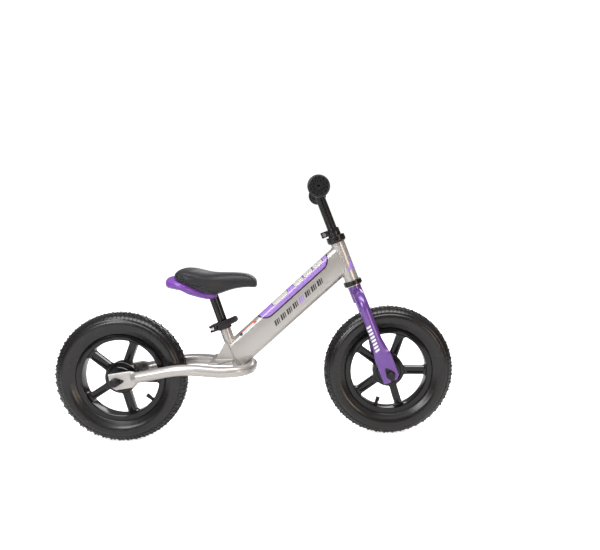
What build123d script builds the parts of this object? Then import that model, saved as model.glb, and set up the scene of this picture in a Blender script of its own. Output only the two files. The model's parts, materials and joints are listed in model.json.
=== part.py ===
from build123d import *
from math import sin, cos, radians
import os

os.makedirs("parts", exist_ok=True)

# Balance bike, millimetres. X runs forward to the front wheel, Y to the rider's left, Z up.
# The origin is on the ground, half way between the two axles, in the bike's middle plane.

# ---- driving dimensions ---------------------------------------------------------------------
wheelbase = 624.0
running_gap = 0.05              # radial clearance of a shaft that turns or slides in its hole
seat_gap = 0.3                  # clearance between pieces that move past each other
touch_gap = 0.02                # clearance of curved faces that are pressed or screwed together

# wheels
tyre_radius = 152.0
tyre_half_width = 26.4
tyre_wall = 3.6
tyre_shoulder_radius = 145.5
tyre_shoulder_half_width = 17.5
bead_radius = 102.0
bead_half_width = 13.8
rim_seat_radius = 96.0
rim_lip_radius = 101.5
rim_half_width = 17.0
rim_lip_width = 2.6
rim_edge_bevel = 2.0
window_radius = 89.0
window_corner = 6.5
hub_disc_radius = 37.0
hub_disc_half_width = 13.0
hub_step_radius = 28.0
hub_step_half_width = 24.0
hub_barrel_radius = 18.5
hub_barrel_half_width = 46.0
hub_step_chamfer = 2.0
hub_disc_chamfer = 1.0
spoke_root_inset = 2.0          # the spokes' disc starts this far inside the hub's wall
hub_bore = 10.0
spoke_count = 5
spoke_width = 17.5
spoke_half_depth = 9.5
spoke_groove_width = 8.0
spoke_groove_depth = 2.6
rear_spoke_angle = -4.0
front_spoke_angle = -2.0
rear_valve_angle = 320.0
front_valve_angle = 250.0
valve_radius = 4.0
valve_tip_radius = 72.0
valve_cap_radius = 4.6
valve_cap_length = 9.0
valve_foot_radius = 7.0
valve_foot_height = 1.0
valve_hole_radius = 1.6
valve_cap_top = 1.5             # cap beyond the end of the stem
tube_wall = 1.4

# hub axles and bearings
axle_radius = 5.0
axle_half_length = 66.0
bearing_radius = 13.0
bearing_width = 8.0
bearing_outer_race = 2.0
bearing_inner_race = 2.2
bearing_shield_depth = 0.6
axle_chamfer = 0.8
dropout_inner = 52.0            # half the distance between the faces that clamp the hub
dropout_thickness = 5.0
cone_radius = 7.5
cone_collar_radius = 10.5
cone_collar_width = 3.0
washer_thickness = 1.6
washer_radius = 10.0
washer_reach = 16.5
washer_tip_radius = 3.2
washer_hook_radius = 2.0
washer_hole_radius = 2.5
rear_hook_angle = 7.5           # directions from the axle, seen from the right side
front_hook_angle = 128.0
front_slot_angle = 290.0
nut_across_flats = 14.0
nut_height = 7.0
nut_cap_radius = 10.4
nut_cap_top_radius = 8.4
nut_cap_height = 14.0
nut_cap_skirt = 2.0
nut_cap_head_room = 1.0
nut_cap_round = 3.0

# steering axis, fork and head
head_tilt = 20.0                # from the vertical
fork_rake = 4.0
head_tube_radius = 16.4
head_tube_bore = 15.0
head_bottom = 229.5             # heights along the steering axis, from the foot of the axle on it
head_length = 94.0
steerer_radius = 12.7
crown_radius = 15.3
crown_bottom = 178.0
crown_top = 216.5
lower_cup_radius = 21.5
lower_cup_height = 11.0
cup_skirt = 8.0
cup_edge_round = 1.4
cup_wall_play = 0.7             # room outside the balls
cup_throat_play = 0.9           # room round the steerer tube
upper_cup_radius = 21.8
upper_cup_height = 16.5
upper_cup_round = 5.6
upper_cup_floor = 2.2
upper_cap_height = 6.2
upper_cap_inset = 0.3
upper_cap_round = 2.0
race_radius = 18.4
race_height = 3.0
race_nose_reach = 1.0           # how far a race dips past the balls' centres
race_play = 0.2
ball_radius = 2.0
ball_circle = 16.6
ball_count = 16
ball_play = 0.4
leg_radius = 12.7
leg_wall = 1.8
leg_offset = 2.0                # forward of the steering axis
leg_half_spread = 52.0
leg_shoulder = 196.0
leg_shoulder_bend = 38.0
leg_round_end = 88.0
leg_flat_start = 44.0
leg_flat_width = 40.0
leg_flat_end = -16.0
leg_front_chamfer = 11.0
leg_rear_chamfer = 4.0

# handlebar
bar_radius = 11.1
bar_wall = 1.6
bar_height = 447.5              # bar axis, along the steering axis
bar_half_width = 197.0
post_bottom = 262.0
clamp_radius = 14.9
clamp_height = 17.0
clamp_ear_reach = 29.5
clamp_ear_height = 13.5
clamp_ear_half_width = 8.5
clamp_slot = 3.0
clamp_corner_round = 1.2        # on the ears of both clamps
clamp_bolt_radius = 2.5
clamp_bolt_lift = 10.2
clamp_bolt_inset = 7.0
clamp_socket_radius = 2.25
clamp_socket_depth = 2.4
clamp_bolt_head_radius = 4.3
clamp_bolt_head_height = 4.0
clamp_nut_across_flats = 8.0
clamp_nut_height = 4.0
grip_radius = 15.5
grip_length = 104.0
grip_end_wall = 4.0
grip_flange_radius = 22.6
grip_flange_width = 9.0
grip_collar_radius = 18.5
grip_collar_width = 5.0
grip_flange_round = 4.0
grip_hole_radius = 2.5

# main tube
main_angle = 40.8               # above the horizontal
main_half_height = 33.4
main_half_width = 16.2
main_end_radius = 15.0
main_wall = 1.8

# seat tube, seatpost and saddle
seat_tilt = 17.33               # from the vertical
seat_foot_x = -48.5             # where the main tube's axis meets the seat tube's
seat_foot_z = 196.0
seat_tube_radius = 12.7
seat_tube_bottom_z = 158.5
seatpost_radius = 11.1
seatpost_wall = 1.6
seatpost_bottom = 12.0          # heights along the seat tube, from that foot
seatpost_top = 150.0
collar_radius = 16.6
collar_bottom = 67.0
collar_height = 19.0
collar_lip = 1.6
collar_ear_reach = 30.0
collar_ear_half_width = 9.5
collar_ear_height = 14.0
collar_slot = 3.0
seat_tube_slot = 2.0
seat_tube_slot_length = 30.0
skewer_height = 77.5
skewer_offset = -23.5           # behind the seat tube's axis
skewer_radius = 2.5
skewer_nut_radius = 7.0
skewer_nut_width = 9.0
skewer_nut_chamfer = 1.2
cam_washer_thickness = 2.2
lever_pivot_side = 20.0
lever_boss_radius = 7.2
lever_cam_offset = 0.8
lever_boss_thickness = 4.4
lever_boss_pitch = 10.8
lever_pin_radius = 2.4
lever_root_reach = 9.0          # length of the lever's straight root, each way from the skewer
lever_fork_length = 26.8
lever_eye_radius = 5.0
lever_arm_reach = 62.0
lever_arm_height = 14.0
lever_tip_round = 6.0
lever_arm_rise = 6.0
lever_arm_thickness = 5.5
lever_arm_bow = 4.0

# lower stays
stay_radius = 12.7
stay_wall = 1.6
stay_front_x = -10.0
stay_half_spread = 62.0
stay_corner = 50.0
stay_front_z = 170.0
stay_knee_x = -80.0
stay_peak_x = -158.0
stay_peak_z = 179.5
stay_bend_radius = 250.0
stay_round_end_x = -262.0
stay_round_end_z = 161.5
stay_flat_start_x = -277.0
stay_flat_z = 157.4
stay_flat_tilt = 7.5             # the flattened ends point down to the rear by this much
stay_flat_height = 39.0
stay_flat_end_x = -324.0
stay_tip_chamfer = 12.0
stay_split_x = -86.0
cut_margin = 1.0                # how far a corner cut starts outside the metal
bridge_rear_x = -102.0
bridge_shoulder_x = -80.0
bridge_front_x = -50.0
bridge_front_half_width = 17.0
bridge_half_width = 56.0
bridge_thickness = 3.0
gusset_half_width = 15.0
gusset_sheet = 2.0
gusset_slope_sheet = 2.8        # the sloping wall, measured level
gusset_front_reach = 6.0        # the fold stays open this far past its front edge
gusset_rear_x = -92.0
gusset_top = 40.0

# ---- values worked out from them --------------------------------------------------------------
rear_axle_x = -wheelbase / 2
front_axle_x = wheelbase / 2
axle_z = tyre_radius
dropout_centre = dropout_inner + dropout_thickness / 2
dropout_outer = dropout_inner + dropout_thickness
nut_inner = dropout_outer + washer_thickness
head_top = head_bottom + head_length
clamp_bottom = head_top + upper_cup_height + seat_gap
clamp_top = clamp_bottom + clamp_height
steerer_bore = bar_radius + running_gap
seat_tube_top = collar_bottom + collar_height - collar_lip
stay_crest = stay_front_z + (stay_peak_z - stay_front_z) * (stay_knee_x - bridge_rear_x) / (
    stay_knee_x - stay_peak_x)
bridge_bottom = stay_crest + stay_radius

head_up = Vector(-sin(radians(head_tilt)), 0, cos(radians(head_tilt)))
head_forward = Vector(cos(radians(head_tilt)), 0, sin(radians(head_tilt)))
head_foot = Vector(front_axle_x, 0, axle_z) - head_forward * fork_rake
seat_up = Vector(-sin(radians(seat_tilt)), 0, cos(radians(seat_tilt)))
seat_forward = Vector(cos(radians(seat_tilt)), 0, sin(radians(seat_tilt)))
seat_foot = Vector(seat_foot_x, 0, seat_foot_z)
main_along = Vector(cos(radians(main_angle)), 0, sin(radians(main_angle)))
seat_tube_bottom = (seat_tube_bottom_z - seat_foot_z) / seat_up.Z
main_length = (head_foot - seat_foot).dot(head_forward) / main_along.dot(head_forward)


def head_point(height, forward=0.0, side=0.0):
    return head_foot + head_up * height + head_forward * forward + Vector(0, side, 0)


def seat_point(height, forward=0.0, side=0.0):
    return seat_foot + seat_up * height + seat_forward * forward + Vector(0, side, 0)


def head_plane(height, forward=0.0, side=0.0):
    # square to the steering axis: local X forward, local Y to the left
    return Plane(origin=head_point(height, forward, side), x_dir=head_forward, z_dir=head_up)


def head_side_plane(side=0.0):
    # upright plane along the bike: local X forward of the steering axis, local Y up along it
    return Plane(origin=head_point(0, 0, side), x_dir=head_forward, z_dir=(0, -1, 0))


def seat_plane(height, forward=0.0, side=0.0):
    return Plane(origin=seat_point(height, forward, side), x_dir=seat_forward, z_dir=seat_up)


def seat_side_plane(side=0.0):
    return Plane(origin=seat_point(0, 0, side), x_dir=seat_forward, z_dir=(0, -1, 0))


def side_plane(x, z, side=0.0):
    # square to the axles: local X forward, local Y up, facing the rider's right
    return Plane(origin=(x, side, z), x_dir=(1, 0, 0), z_dir=(0, -1, 0))


def axle_plane(x, z, side=0.0):
    # holds the axle: local X is the distance from it, local Y runs along it
    return Plane(origin=(x, side, z), x_dir=(0, 0, 1), z_dir=(-1, 0, 0))


def axle_line(x, z):
    return Axis(origin=(x, 0, z), direction=(0, 1, 0))


def way(angle):
    # direction in the middle plane, counted from forward towards up
    return Vector(cos(radians(angle)), 0, sin(radians(angle)))


head_axis = Axis(origin=head_foot, direction=head_up)


def save(part, name):
    part.label = name
    export_step(part, f"parts/{name}.step")


def both_sides(part):
    # a piece and its mirror image across the middle plane, in one node
    return Compound(children=[*part.solids(), *mirror(part, about=Plane.XZ).solids()])


# ---- frame tubes ------------------------------------------------------------------------------
def oval(half_height, half_width, end_radius):
    # four tangent arcs: round ends of end_radius joined by long side arcs, tall along local Y
    span = half_height - end_radius
    side_radius = (span ** 2 + half_width ** 2 - end_radius ** 2) / (2 * (half_width - end_radius))
    reach = side_radius / (side_radius - end_radius)
    touch_y = span * reach
    touch_x = (side_radius - half_width) * (reach - 1)
    with BuildSketch() as profile:
        with BuildLine():
            ThreePointArc((touch_x, touch_y), (0, half_height), (-touch_x, touch_y))
            ThreePointArc((-touch_x, touch_y), (-half_width, 0), (-touch_x, -touch_y))
            ThreePointArc((-touch_x, -touch_y), (0, -half_height), (touch_x, -touch_y))
            ThreePointArc((touch_x, -touch_y), (half_width, 0), (touch_x, touch_y))
        make_face()
    return profile.sketch


with BuildPart() as head_tube:
    with BuildSketch(head_plane(head_bottom)):
        Circle(head_tube_radius)
        Circle(head_tube_bore, mode=Mode.SUBTRACT)
    extrude(amount=head_length)
save(head_tube.part, "head_tube")

with BuildPart() as seat_tube:
    with BuildSketch(seat_plane(seat_tube_bottom - 2 * seat_tube_radius)):
        Circle(seat_tube_radius)
        Circle(seatpost_radius + running_gap, mode=Mode.SUBTRACT)
    extrude(amount=seat_tube_top - seat_tube_bottom + 2 * seat_tube_radius)
    split(bisect_by=Plane.XY.offset(seat_tube_bottom_z), keep=Keep.TOP)
    with BuildSketch(seat_plane(seat_tube_top)):
        with Locations((-seat_tube_radius, 0)):
            Rectangle(seat_tube_radius, seat_tube_slot)
    extrude(amount=-seat_tube_slot_length, mode=Mode.SUBTRACT)
save(seat_tube.part, "seat_tube")

# solid cores of the two upright tubes, which the tubes that meet them are cut to
with BuildPart() as head_core:
    with BuildSketch(head_plane(head_bottom - head_length)):
        Circle(head_tube_radius)
    extrude(amount=3 * head_length)
with BuildPart() as seat_core:
    with BuildSketch(seat_plane(-seat_tube_top)):
        Circle(seat_tube_radius)
    extrude(amount=2 * seat_tube_top)


def stay_corners(side):
    return [
        (stay_round_end_x, side * dropout_centre, stay_round_end_z),
        (stay_peak_x, side * stay_half_spread, stay_peak_z),
        (stay_knee_x, side * stay_half_spread, stay_front_z),
        (stay_front_x, side * stay_half_spread, stay_front_z),
    ]


# the lower stay is one tube bent into a U, its two ends flattened into dropouts
stay_start = Vector(*stay_corners(-1)[0])
stay_heading = (Vector(*stay_corners(-1)[1]) - stay_start).normalized()
stay_end_plane = Plane(origin=stay_start, x_dir=(0, 0, 1), z_dir=-stay_heading)
with BuildPart() as stay_loop:
    with BuildLine() as stay_line:
        bends = [stay_bend_radius, stay_bend_radius, stay_corner]
        FilletPolyline(*stay_corners(-1), *stay_corners(1)[::-1], radius=bends + bends[::-1])
    with BuildSketch(stay_end_plane):
        Circle(stay_radius)
        Circle(stay_radius - stay_wall, mode=Mode.SUBTRACT)
    sweep(path=stay_line.wire())
with BuildPart() as stay_core:
    with BuildSketch(stay_end_plane):
        Circle(stay_radius)
    sweep(path=stay_line.wire())

with BuildPart() as stay_bend:
    add(stay_loop.part)
    split(bisect_by=Plane.YZ.offset(stay_split_x), keep=Keep.TOP)
    add(seat_core.part, mode=Mode.SUBTRACT)
save(stay_bend.part, "stay_bend")

with BuildPart() as main_tube:
    with BuildSketch(Plane(origin=seat_foot, x_dir=(0, 1, 0), z_dir=main_along)):
        add(oval(main_half_height, main_half_width, main_end_radius))
        add(oval(main_half_height - main_wall, main_half_width - main_wall, main_end_radius - main_wall),
            mode=Mode.SUBTRACT)
    extrude(amount=main_length)
    split(bisect_by=Plane(origin=seat_foot, z_dir=seat_forward), keep=Keep.TOP)
    add(head_core.part, mode=Mode.SUBTRACT)
    add(seat_core.part, mode=Mode.SUBTRACT)
    add(stay_core.part, mode=Mode.SUBTRACT)
save(main_tube.part.solids().sort_by(SortBy.VOLUME)[-1], "main_tube")


# ---- dropouts: flattened tube ends with an open axle slot and a hole for the washer's hook -------
def axle_slot(x, angle):
    # open slot from the axle out past the end of the flattened tube
    slot_reach = stay_flat_height
    with BuildPart() as slot:
        with BuildSketch(side_plane(x, axle_z)):
            Circle(axle_radius + touch_gap)
            with PolarLocations(slot_reach, 1, start_angle=angle):
                Rectangle(2 * slot_reach, 2 * (axle_radius + touch_gap))
        extrude(amount=2 * dropout_outer, both=True)
    return slot.part


def hook_hole(x, angle):
    with BuildPart() as hole:
        with BuildSketch(side_plane(x, axle_z)):
            with PolarLocations(washer_reach, 1, start_angle=angle):
                Circle(washer_hole_radius)
        extrude(amount=2 * dropout_outer, both=True)
    return hole.part


def corner_cut(plane, points):
    with BuildPart() as cut:
        with BuildSketch(plane):
            Polygon(*points, align=None)
        extrude(amount=2 * dropout_outer, both=True)
    return cut.part


stay_flat_back = way(180 + stay_flat_tilt)
stay_flat_start = Vector(stay_flat_start_x, -dropout_centre, stay_flat_z)
stay_flat_length = (stay_flat_start_x - stay_flat_end_x) / cos(radians(stay_flat_tilt))
stay_flat_up = way(90 + stay_flat_tilt)
stay_flat_plane = Plane(origin=stay_flat_start, x_dir=stay_flat_up, z_dir=stay_flat_back)
stay_tip = stay_flat_start + stay_flat_back * stay_flat_length - stay_flat_up * (stay_flat_height / 2)
with BuildPart() as stay_right:
    add(stay_loop.part)
    split(bisect_by=Plane.YZ.offset(stay_split_x), keep=Keep.BOTTOM)
    split(bisect_by=Plane.XZ, keep=Keep.TOP)
    with BuildSketch(stay_end_plane):
        Circle(stay_radius)
    with BuildSketch(stay_flat_plane):
        SlotOverall(stay_flat_height, dropout_thickness)
    loft()
    with BuildSketch(stay_flat_plane):
        SlotOverall(stay_flat_height, dropout_thickness)
    extrude(amount=stay_flat_length)
    add(axle_slot(rear_axle_x, 180 + stay_flat_tilt), mode=Mode.SUBTRACT)
    add(hook_hole(rear_axle_x, rear_hook_angle), mode=Mode.SUBTRACT)
    add(corner_cut(Plane(origin=stay_tip, x_dir=-stay_flat_back, z_dir=(0, -1, 0)), [
        (-cut_margin, -cut_margin), (stay_tip_chamfer, -cut_margin),
        (-cut_margin, stay_tip_chamfer)]), mode=Mode.SUBTRACT)
save(stay_right.part, "stay_right")
save(mirror(stay_right.part, about=Plane.XZ), "stay_left")

# ---- bridge plate on the stays and the folded gusset behind the seat tube ------------------------
with BuildPart() as bridge_plate:
    with BuildSketch(Plane.XY.offset(bridge_bottom)):
        Polygon((bridge_rear_x, -bridge_half_width), (bridge_shoulder_x, -bridge_half_width),
                (bridge_front_x, -bridge_front_half_width), (bridge_front_x, bridge_front_half_width),
                (bridge_shoulder_x, bridge_half_width), (bridge_rear_x, bridge_half_width), align=None)
    extrude(amount=bridge_thickness)
    add(seat_core.part, mode=Mode.SUBTRACT)
    add(stay_core.part, mode=Mode.SUBTRACT)
save(bridge_plate.part.solids().sort_by(SortBy.VOLUME)[-1], "bridge_plate")

gusset_foot_z = bridge_bottom + bridge_thickness
gusset_tip = seat_point(gusset_top, -seat_tube_radius / 2)
gusset_front = seat_point((gusset_foot_z - seat_foot_z) / seat_up.Z)
with BuildPart() as gusset:
    with BuildSketch(side_plane(0, 0)):
        Polygon((gusset_tip.X, gusset_tip.Z), (gusset_rear_x, gusset_foot_z),
                (gusset_front.X, gusset_foot_z), align=None)
    extrude(amount=gusset_half_width, both=True)
    with BuildSketch(side_plane(0, 0)):
        Polygon((gusset_tip.X + gusset_front_reach, gusset_tip.Z),
                (gusset_rear_x + gusset_slope_sheet, gusset_foot_z),
                (gusset_front.X + gusset_front_reach, gusset_foot_z), align=None)
    extrude(amount=gusset_half_width - gusset_sheet, both=True, mode=Mode.SUBTRACT)
    add(seat_core.part, mode=Mode.SUBTRACT)
save(gusset.part.solids().sort_by(SortBy.VOLUME)[-1], "gusset")

# ---- headset ------------------------------------------------------------------------------------
cup_cavity_radius = ball_circle + ball_radius + cup_wall_play
cup_throat = steerer_radius + cup_throat_play
race_nose_radius = ball_circle - ball_radius - race_play
lower_ball_height = crown_top + race_height + ball_radius + ball_play
lower_cavity_top = lower_ball_height + ball_radius + ball_play
lower_cup_bottom = head_bottom - lower_cup_height
with BuildPart() as lower_cup:
    with BuildSketch(head_side_plane()) as lower_cup_profile:
        with BuildLine():
            Polyline((cup_cavity_radius, lower_cup_bottom), (lower_cup_radius, lower_cup_bottom),
                     (lower_cup_radius, head_bottom), (head_tube_bore - touch_gap, head_bottom),
                     (head_tube_bore - touch_gap, head_bottom + cup_skirt),
                     (cup_throat, head_bottom + cup_skirt),
                     (cup_throat, lower_cavity_top), (cup_cavity_radius, lower_cavity_top), close=True)
        make_face()
    revolve(axis=head_axis)
    fillet(lower_cup.edges().filter_by(GeomType.CIRCLE).group_by(SortBy.RADIUS)[-1], cup_edge_round)
save(lower_cup.part, "lower_headset_cup")

upper_ball_height = head_top + upper_cup_floor + ball_play + ball_radius
upper_race_bottom = upper_ball_height + ball_radius + ball_play
upper_cup_rim = head_top + upper_cup_height - upper_cap_height
upper_cap_bottom = upper_cup_rim + seat_gap
upper_cap_radius = upper_cup_radius - upper_cap_inset
with BuildPart() as upper_cup:
    with BuildSketch(head_side_plane()) as upper_cup_profile:
        with BuildLine():
            Polyline((cup_throat, head_top - cup_skirt), (head_tube_bore - touch_gap, head_top - cup_skirt),
                     (head_tube_bore - touch_gap, head_top), (upper_cup_radius, head_top),
                     (upper_cup_radius, upper_cup_rim), (cup_cavity_radius, upper_cup_rim),
                     (cup_cavity_radius, head_top + upper_cup_floor),
                     (cup_throat, head_top + upper_cup_floor), close=True)
        make_face()
        fillet(upper_cup_profile.vertices().group_by(Axis.X)[-1].sort_by(Axis.Y)[0], upper_cup_round)
    revolve(axis=head_axis)
save(upper_cup.part, "upper_headset_cup")

with BuildPart() as upper_race:
    with BuildSketch(head_side_plane()) as upper_race_profile:
        with BuildLine():
            Polyline((steerer_radius + touch_gap, upper_ball_height - race_nose_reach),
                     (race_nose_radius, upper_ball_height - race_nose_reach),
                     (race_nose_radius, upper_race_bottom), (race_radius, upper_race_bottom),
                     (race_radius, upper_cap_bottom), (upper_cap_radius, upper_cap_bottom),
                     (upper_cap_radius, clamp_bottom - seat_gap),
                     (steerer_radius + touch_gap, clamp_bottom - seat_gap), close=True)
        make_face()
        fillet(upper_race_profile.vertices().group_by(Axis.X)[-1].sort_by(Axis.Y)[-1], upper_cap_round)
    revolve(axis=head_axis)
save(upper_race.part, "headset_cap")

with BuildPart() as crown_race:
    with BuildSketch(head_side_plane()):
        with BuildLine():
            Polyline((steerer_radius + touch_gap, crown_top), (race_radius, crown_top),
                     (race_radius, crown_top + race_height), (race_nose_radius, crown_top + race_height),
                     (race_nose_radius, lower_ball_height + race_nose_reach),
                     (steerer_radius + touch_gap, lower_ball_height + race_nose_reach), close=True)
        make_face()
    revolve(axis=head_axis)
save(crown_race.part, "crown_race")

with BuildPart() as headset_balls:
    with Locations(head_plane(lower_ball_height), head_plane(upper_ball_height)):
        with PolarLocations(ball_circle, ball_count):
            Sphere(ball_radius)
save(headset_balls.part, "headset_balls")

# ---- fork -----------------------------------------------------------------------------------------
with BuildPart() as fork_crown:
    with BuildSketch(head_plane(crown_bottom)):
        Circle(crown_radius)
        Circle(steerer_radius + touch_gap, mode=Mode.SUBTRACT)
    extrude(amount=crown_top - crown_bottom)
save(fork_crown.part, "fork_crown")

with BuildPart() as steerer_tube:
    with BuildSketch(head_plane(crown_bottom)):
        Circle(steerer_radius)
        Circle(steerer_bore, mode=Mode.SUBTRACT)
    extrude(amount=clamp_top - crown_bottom)
    with BuildSketch(head_plane(clamp_top)):
        with Locations((-steerer_radius, 0)):
            Rectangle(steerer_radius, seat_tube_slot)
    extrude(amount=clamp_bottom - clamp_top, mode=Mode.SUBTRACT)
save(steerer_tube.part, "steerer_tube")

with BuildPart() as crown_core:
    with BuildSketch(head_plane(crown_bottom - crown_radius)):
        Circle(crown_radius)
    extrude(amount=crown_top - crown_bottom + 2 * crown_radius)

leg_flat_plane = Plane(origin=head_point(leg_flat_start, leg_offset, -dropout_centre), x_dir=head_forward,
                       z_dir=-head_up)
leg_end_plane = Plane(origin=head_point(leg_round_end, leg_offset, -leg_half_spread), x_dir=head_forward,
                      z_dir=-head_up)
leg_root = head_point(leg_shoulder, leg_offset)
with BuildPart() as leg_right:
    with BuildLine() as leg_line:
        FilletPolyline(leg_root, head_point(leg_shoulder, leg_offset, -leg_half_spread),
                       head_point(leg_round_end, leg_offset, -leg_half_spread), radius=leg_shoulder_bend)
    with BuildSketch(Plane(origin=leg_root, x_dir=head_forward, z_dir=(0, -1, 0))):
        Circle(leg_radius)
        Circle(leg_radius - leg_wall, mode=Mode.SUBTRACT)
    sweep(path=leg_line.wire())
    add(crown_core.part, mode=Mode.SUBTRACT)
    with BuildSketch(leg_end_plane):
        Circle(leg_radius)
    with BuildSketch(leg_flat_plane):
        SlotOverall(leg_flat_width, dropout_thickness)
    loft()
    with BuildSketch(leg_flat_plane):
        SlotOverall(leg_flat_width, dropout_thickness)
    extrude(amount=leg_flat_start - leg_flat_end)
    add(axle_slot(front_axle_x, front_slot_angle), mode=Mode.SUBTRACT)
    add(hook_hole(front_axle_x, front_hook_angle), mode=Mode.SUBTRACT)
    front_edge = leg_offset + leg_flat_width / 2
    rear_edge = leg_offset - leg_flat_width / 2
    add(corner_cut(head_side_plane(), [
        (front_edge + cut_margin, leg_flat_end - cut_margin),
        (front_edge + cut_margin, leg_flat_end + leg_front_chamfer),
        (front_edge - leg_front_chamfer, leg_flat_end - cut_margin)]), mode=Mode.SUBTRACT)
    add(corner_cut(head_side_plane(), [
        (rear_edge - cut_margin, leg_flat_end - cut_margin),
        (rear_edge + leg_rear_chamfer, leg_flat_end - cut_margin),
        (rear_edge - cut_margin, leg_flat_end + leg_rear_chamfer)]), mode=Mode.SUBTRACT)
leg_right_part = leg_right.part.solids().sort_by(SortBy.VOLUME)[-1]
save(leg_right_part, "fork_leg_right")
save(mirror(leg_right_part, about=Plane.XZ), "fork_leg_left")

# ---- handlebar ------------------------------------------------------------------------------------
bar_plane = Plane(origin=head_point(bar_height), x_dir=head_forward, z_dir=(0, 1, 0))
with BuildPart() as handlebar:
    with BuildSketch(bar_plane):
        Circle(bar_radius)
        Circle(bar_radius - bar_wall, mode=Mode.SUBTRACT)
    extrude(amount=bar_half_width, both=True)
save(handlebar.part, "handlebar")

with BuildPart() as handlebar_post:
    with BuildSketch(head_plane(post_bottom)):
        Circle(bar_radius)
        Circle(bar_radius - bar_wall, mode=Mode.SUBTRACT)
    extrude(amount=bar_height - post_bottom)
    with BuildSketch(bar_plane):
        Circle(bar_radius + touch_gap)
    extrude(amount=2 * bar_radius, both=True, mode=Mode.SUBTRACT)
save(handlebar_post.part, "handlebar_post")

grip_outer = bar_half_width + grip_end_wall
grip_inner = grip_outer - grip_length
grip_plane = Plane(origin=head_point(bar_height), x_dir=head_up, z_dir=-head_forward)
with BuildPart() as grip_left:
    with BuildSketch(grip_plane) as grip_profile:
        with BuildLine():
            Polyline((bar_radius + touch_gap, grip_inner), (grip_collar_radius, grip_inner),
                     (grip_collar_radius, grip_inner + grip_collar_width),
                     (grip_radius, grip_inner + 2 * grip_collar_width),
                     (grip_radius, grip_outer - 2 * grip_flange_width),
                     (grip_flange_radius, grip_outer - grip_flange_width), (grip_flange_radius, grip_outer),
                     (grip_hole_radius, grip_outer), (grip_hole_radius, bar_half_width + touch_gap),
                     (bar_radius + touch_gap, bar_half_width + touch_gap), close=True)
        make_face()
        fillet(grip_profile.vertices().group_by(Axis.X)[-1], grip_flange_round)
    revolve(axis=Axis(origin=head_point(bar_height), direction=(0, 1, 0)))
save(grip_left.part, "grip_left")
save(mirror(grip_left.part, about=Plane.XZ), "grip_right")

clamp_bolt_height = clamp_bottom + clamp_bolt_lift
clamp_bolt_back = clamp_bolt_inset - clamp_ear_reach
with BuildPart() as handlebar_clamp:
    with BuildSketch(head_plane(clamp_bottom)):
        Circle(clamp_radius)
    extrude(amount=clamp_height)
    with BuildSketch(head_plane(clamp_bolt_height - clamp_ear_height / 2)):
        with Locations((-clamp_ear_reach / 2, 0)):
            Rectangle(clamp_ear_reach, 2 * clamp_ear_half_width)
    extrude(amount=clamp_ear_height)
    fillet(handlebar_clamp.edges().filter_by(Axis.Y), clamp_corner_round)
    with BuildSketch(head_plane(clamp_bottom)):
        Circle(steerer_radius + touch_gap)
        with Locations((-clamp_ear_reach, 0)):
            Rectangle(2 * clamp_ear_reach, clamp_slot)
    extrude(amount=clamp_height, mode=Mode.SUBTRACT)
    with BuildSketch(head_side_plane()):
        with Locations((clamp_bolt_back, clamp_bolt_height)):
            Circle(clamp_bolt_radius + touch_gap)
    extrude(amount=clamp_ear_reach, both=True, mode=Mode.SUBTRACT)
save(handlebar_clamp.part, "handlebar_clamp")

clamp_nut_face = clamp_ear_half_width + clamp_nut_height
with BuildPart() as clamp_bolt:
    with BuildSketch(head_side_plane(clamp_nut_face)):
        with Locations((clamp_bolt_back, clamp_bolt_height)):
            Circle(clamp_bolt_radius)
    extrude(amount=clamp_nut_face + clamp_ear_half_width)
    with BuildSketch(head_side_plane(-clamp_ear_half_width)):
        with Locations((clamp_bolt_back, clamp_bolt_height)):
            Circle(clamp_bolt_head_radius)
    extrude(amount=clamp_bolt_head_height)
    with BuildSketch(head_side_plane(-clamp_ear_half_width - clamp_bolt_head_height)):
        with Locations((clamp_bolt_back, clamp_bolt_height)):
            RegularPolygon(clamp_socket_radius, 6)
    extrude(amount=-clamp_socket_depth, mode=Mode.SUBTRACT)
save(clamp_bolt.part, "clamp_bolt")

with BuildPart() as clamp_nut:
    with BuildSketch(head_side_plane(clamp_ear_half_width)):
        with Locations((clamp_bolt_back, clamp_bolt_height)):
            RegularPolygon(clamp_nut_across_flats / 2, 6, major_radius=False)
            Circle(clamp_bolt_radius + touch_gap, mode=Mode.SUBTRACT)
    extrude(amount=-clamp_nut_height)
save(clamp_nut.part, "clamp_nut")

# ---- seat clamp with its quick release ---------------------------------------------------------------
with BuildPart() as seat_clamp:
    with BuildSketch(seat_plane(collar_bottom)):
        Circle(collar_radius)
    extrude(amount=collar_height)
    with BuildSketch(seat_plane(skewer_height - collar_ear_height / 2)):
        with Locations((-collar_ear_reach / 2, 0)):
            Rectangle(collar_ear_reach, 2 * collar_ear_half_width)
    extrude(amount=collar_ear_height)
    fillet(seat_clamp.edges().filter_by(Axis.Y), clamp_corner_round)
    with BuildSketch(seat_plane(collar_bottom)):
        Circle(seat_tube_radius + touch_gap)
    extrude(amount=collar_height - collar_lip, mode=Mode.SUBTRACT)
    with BuildSketch(seat_plane(collar_bottom)):
        Circle(seatpost_radius + seat_gap)
        with Locations((-collar_ear_reach, 0)):
            Rectangle(2 * collar_ear_reach, collar_slot)
    extrude(amount=collar_height, mode=Mode.SUBTRACT)
    with BuildSketch(seat_side_plane()):
        with Locations((skewer_offset, skewer_height)):
            Circle(skewer_radius + touch_gap)
    extrude(amount=collar_ear_reach, both=True, mode=Mode.SUBTRACT)
save(seat_clamp.part, "seat_clamp")

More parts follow.
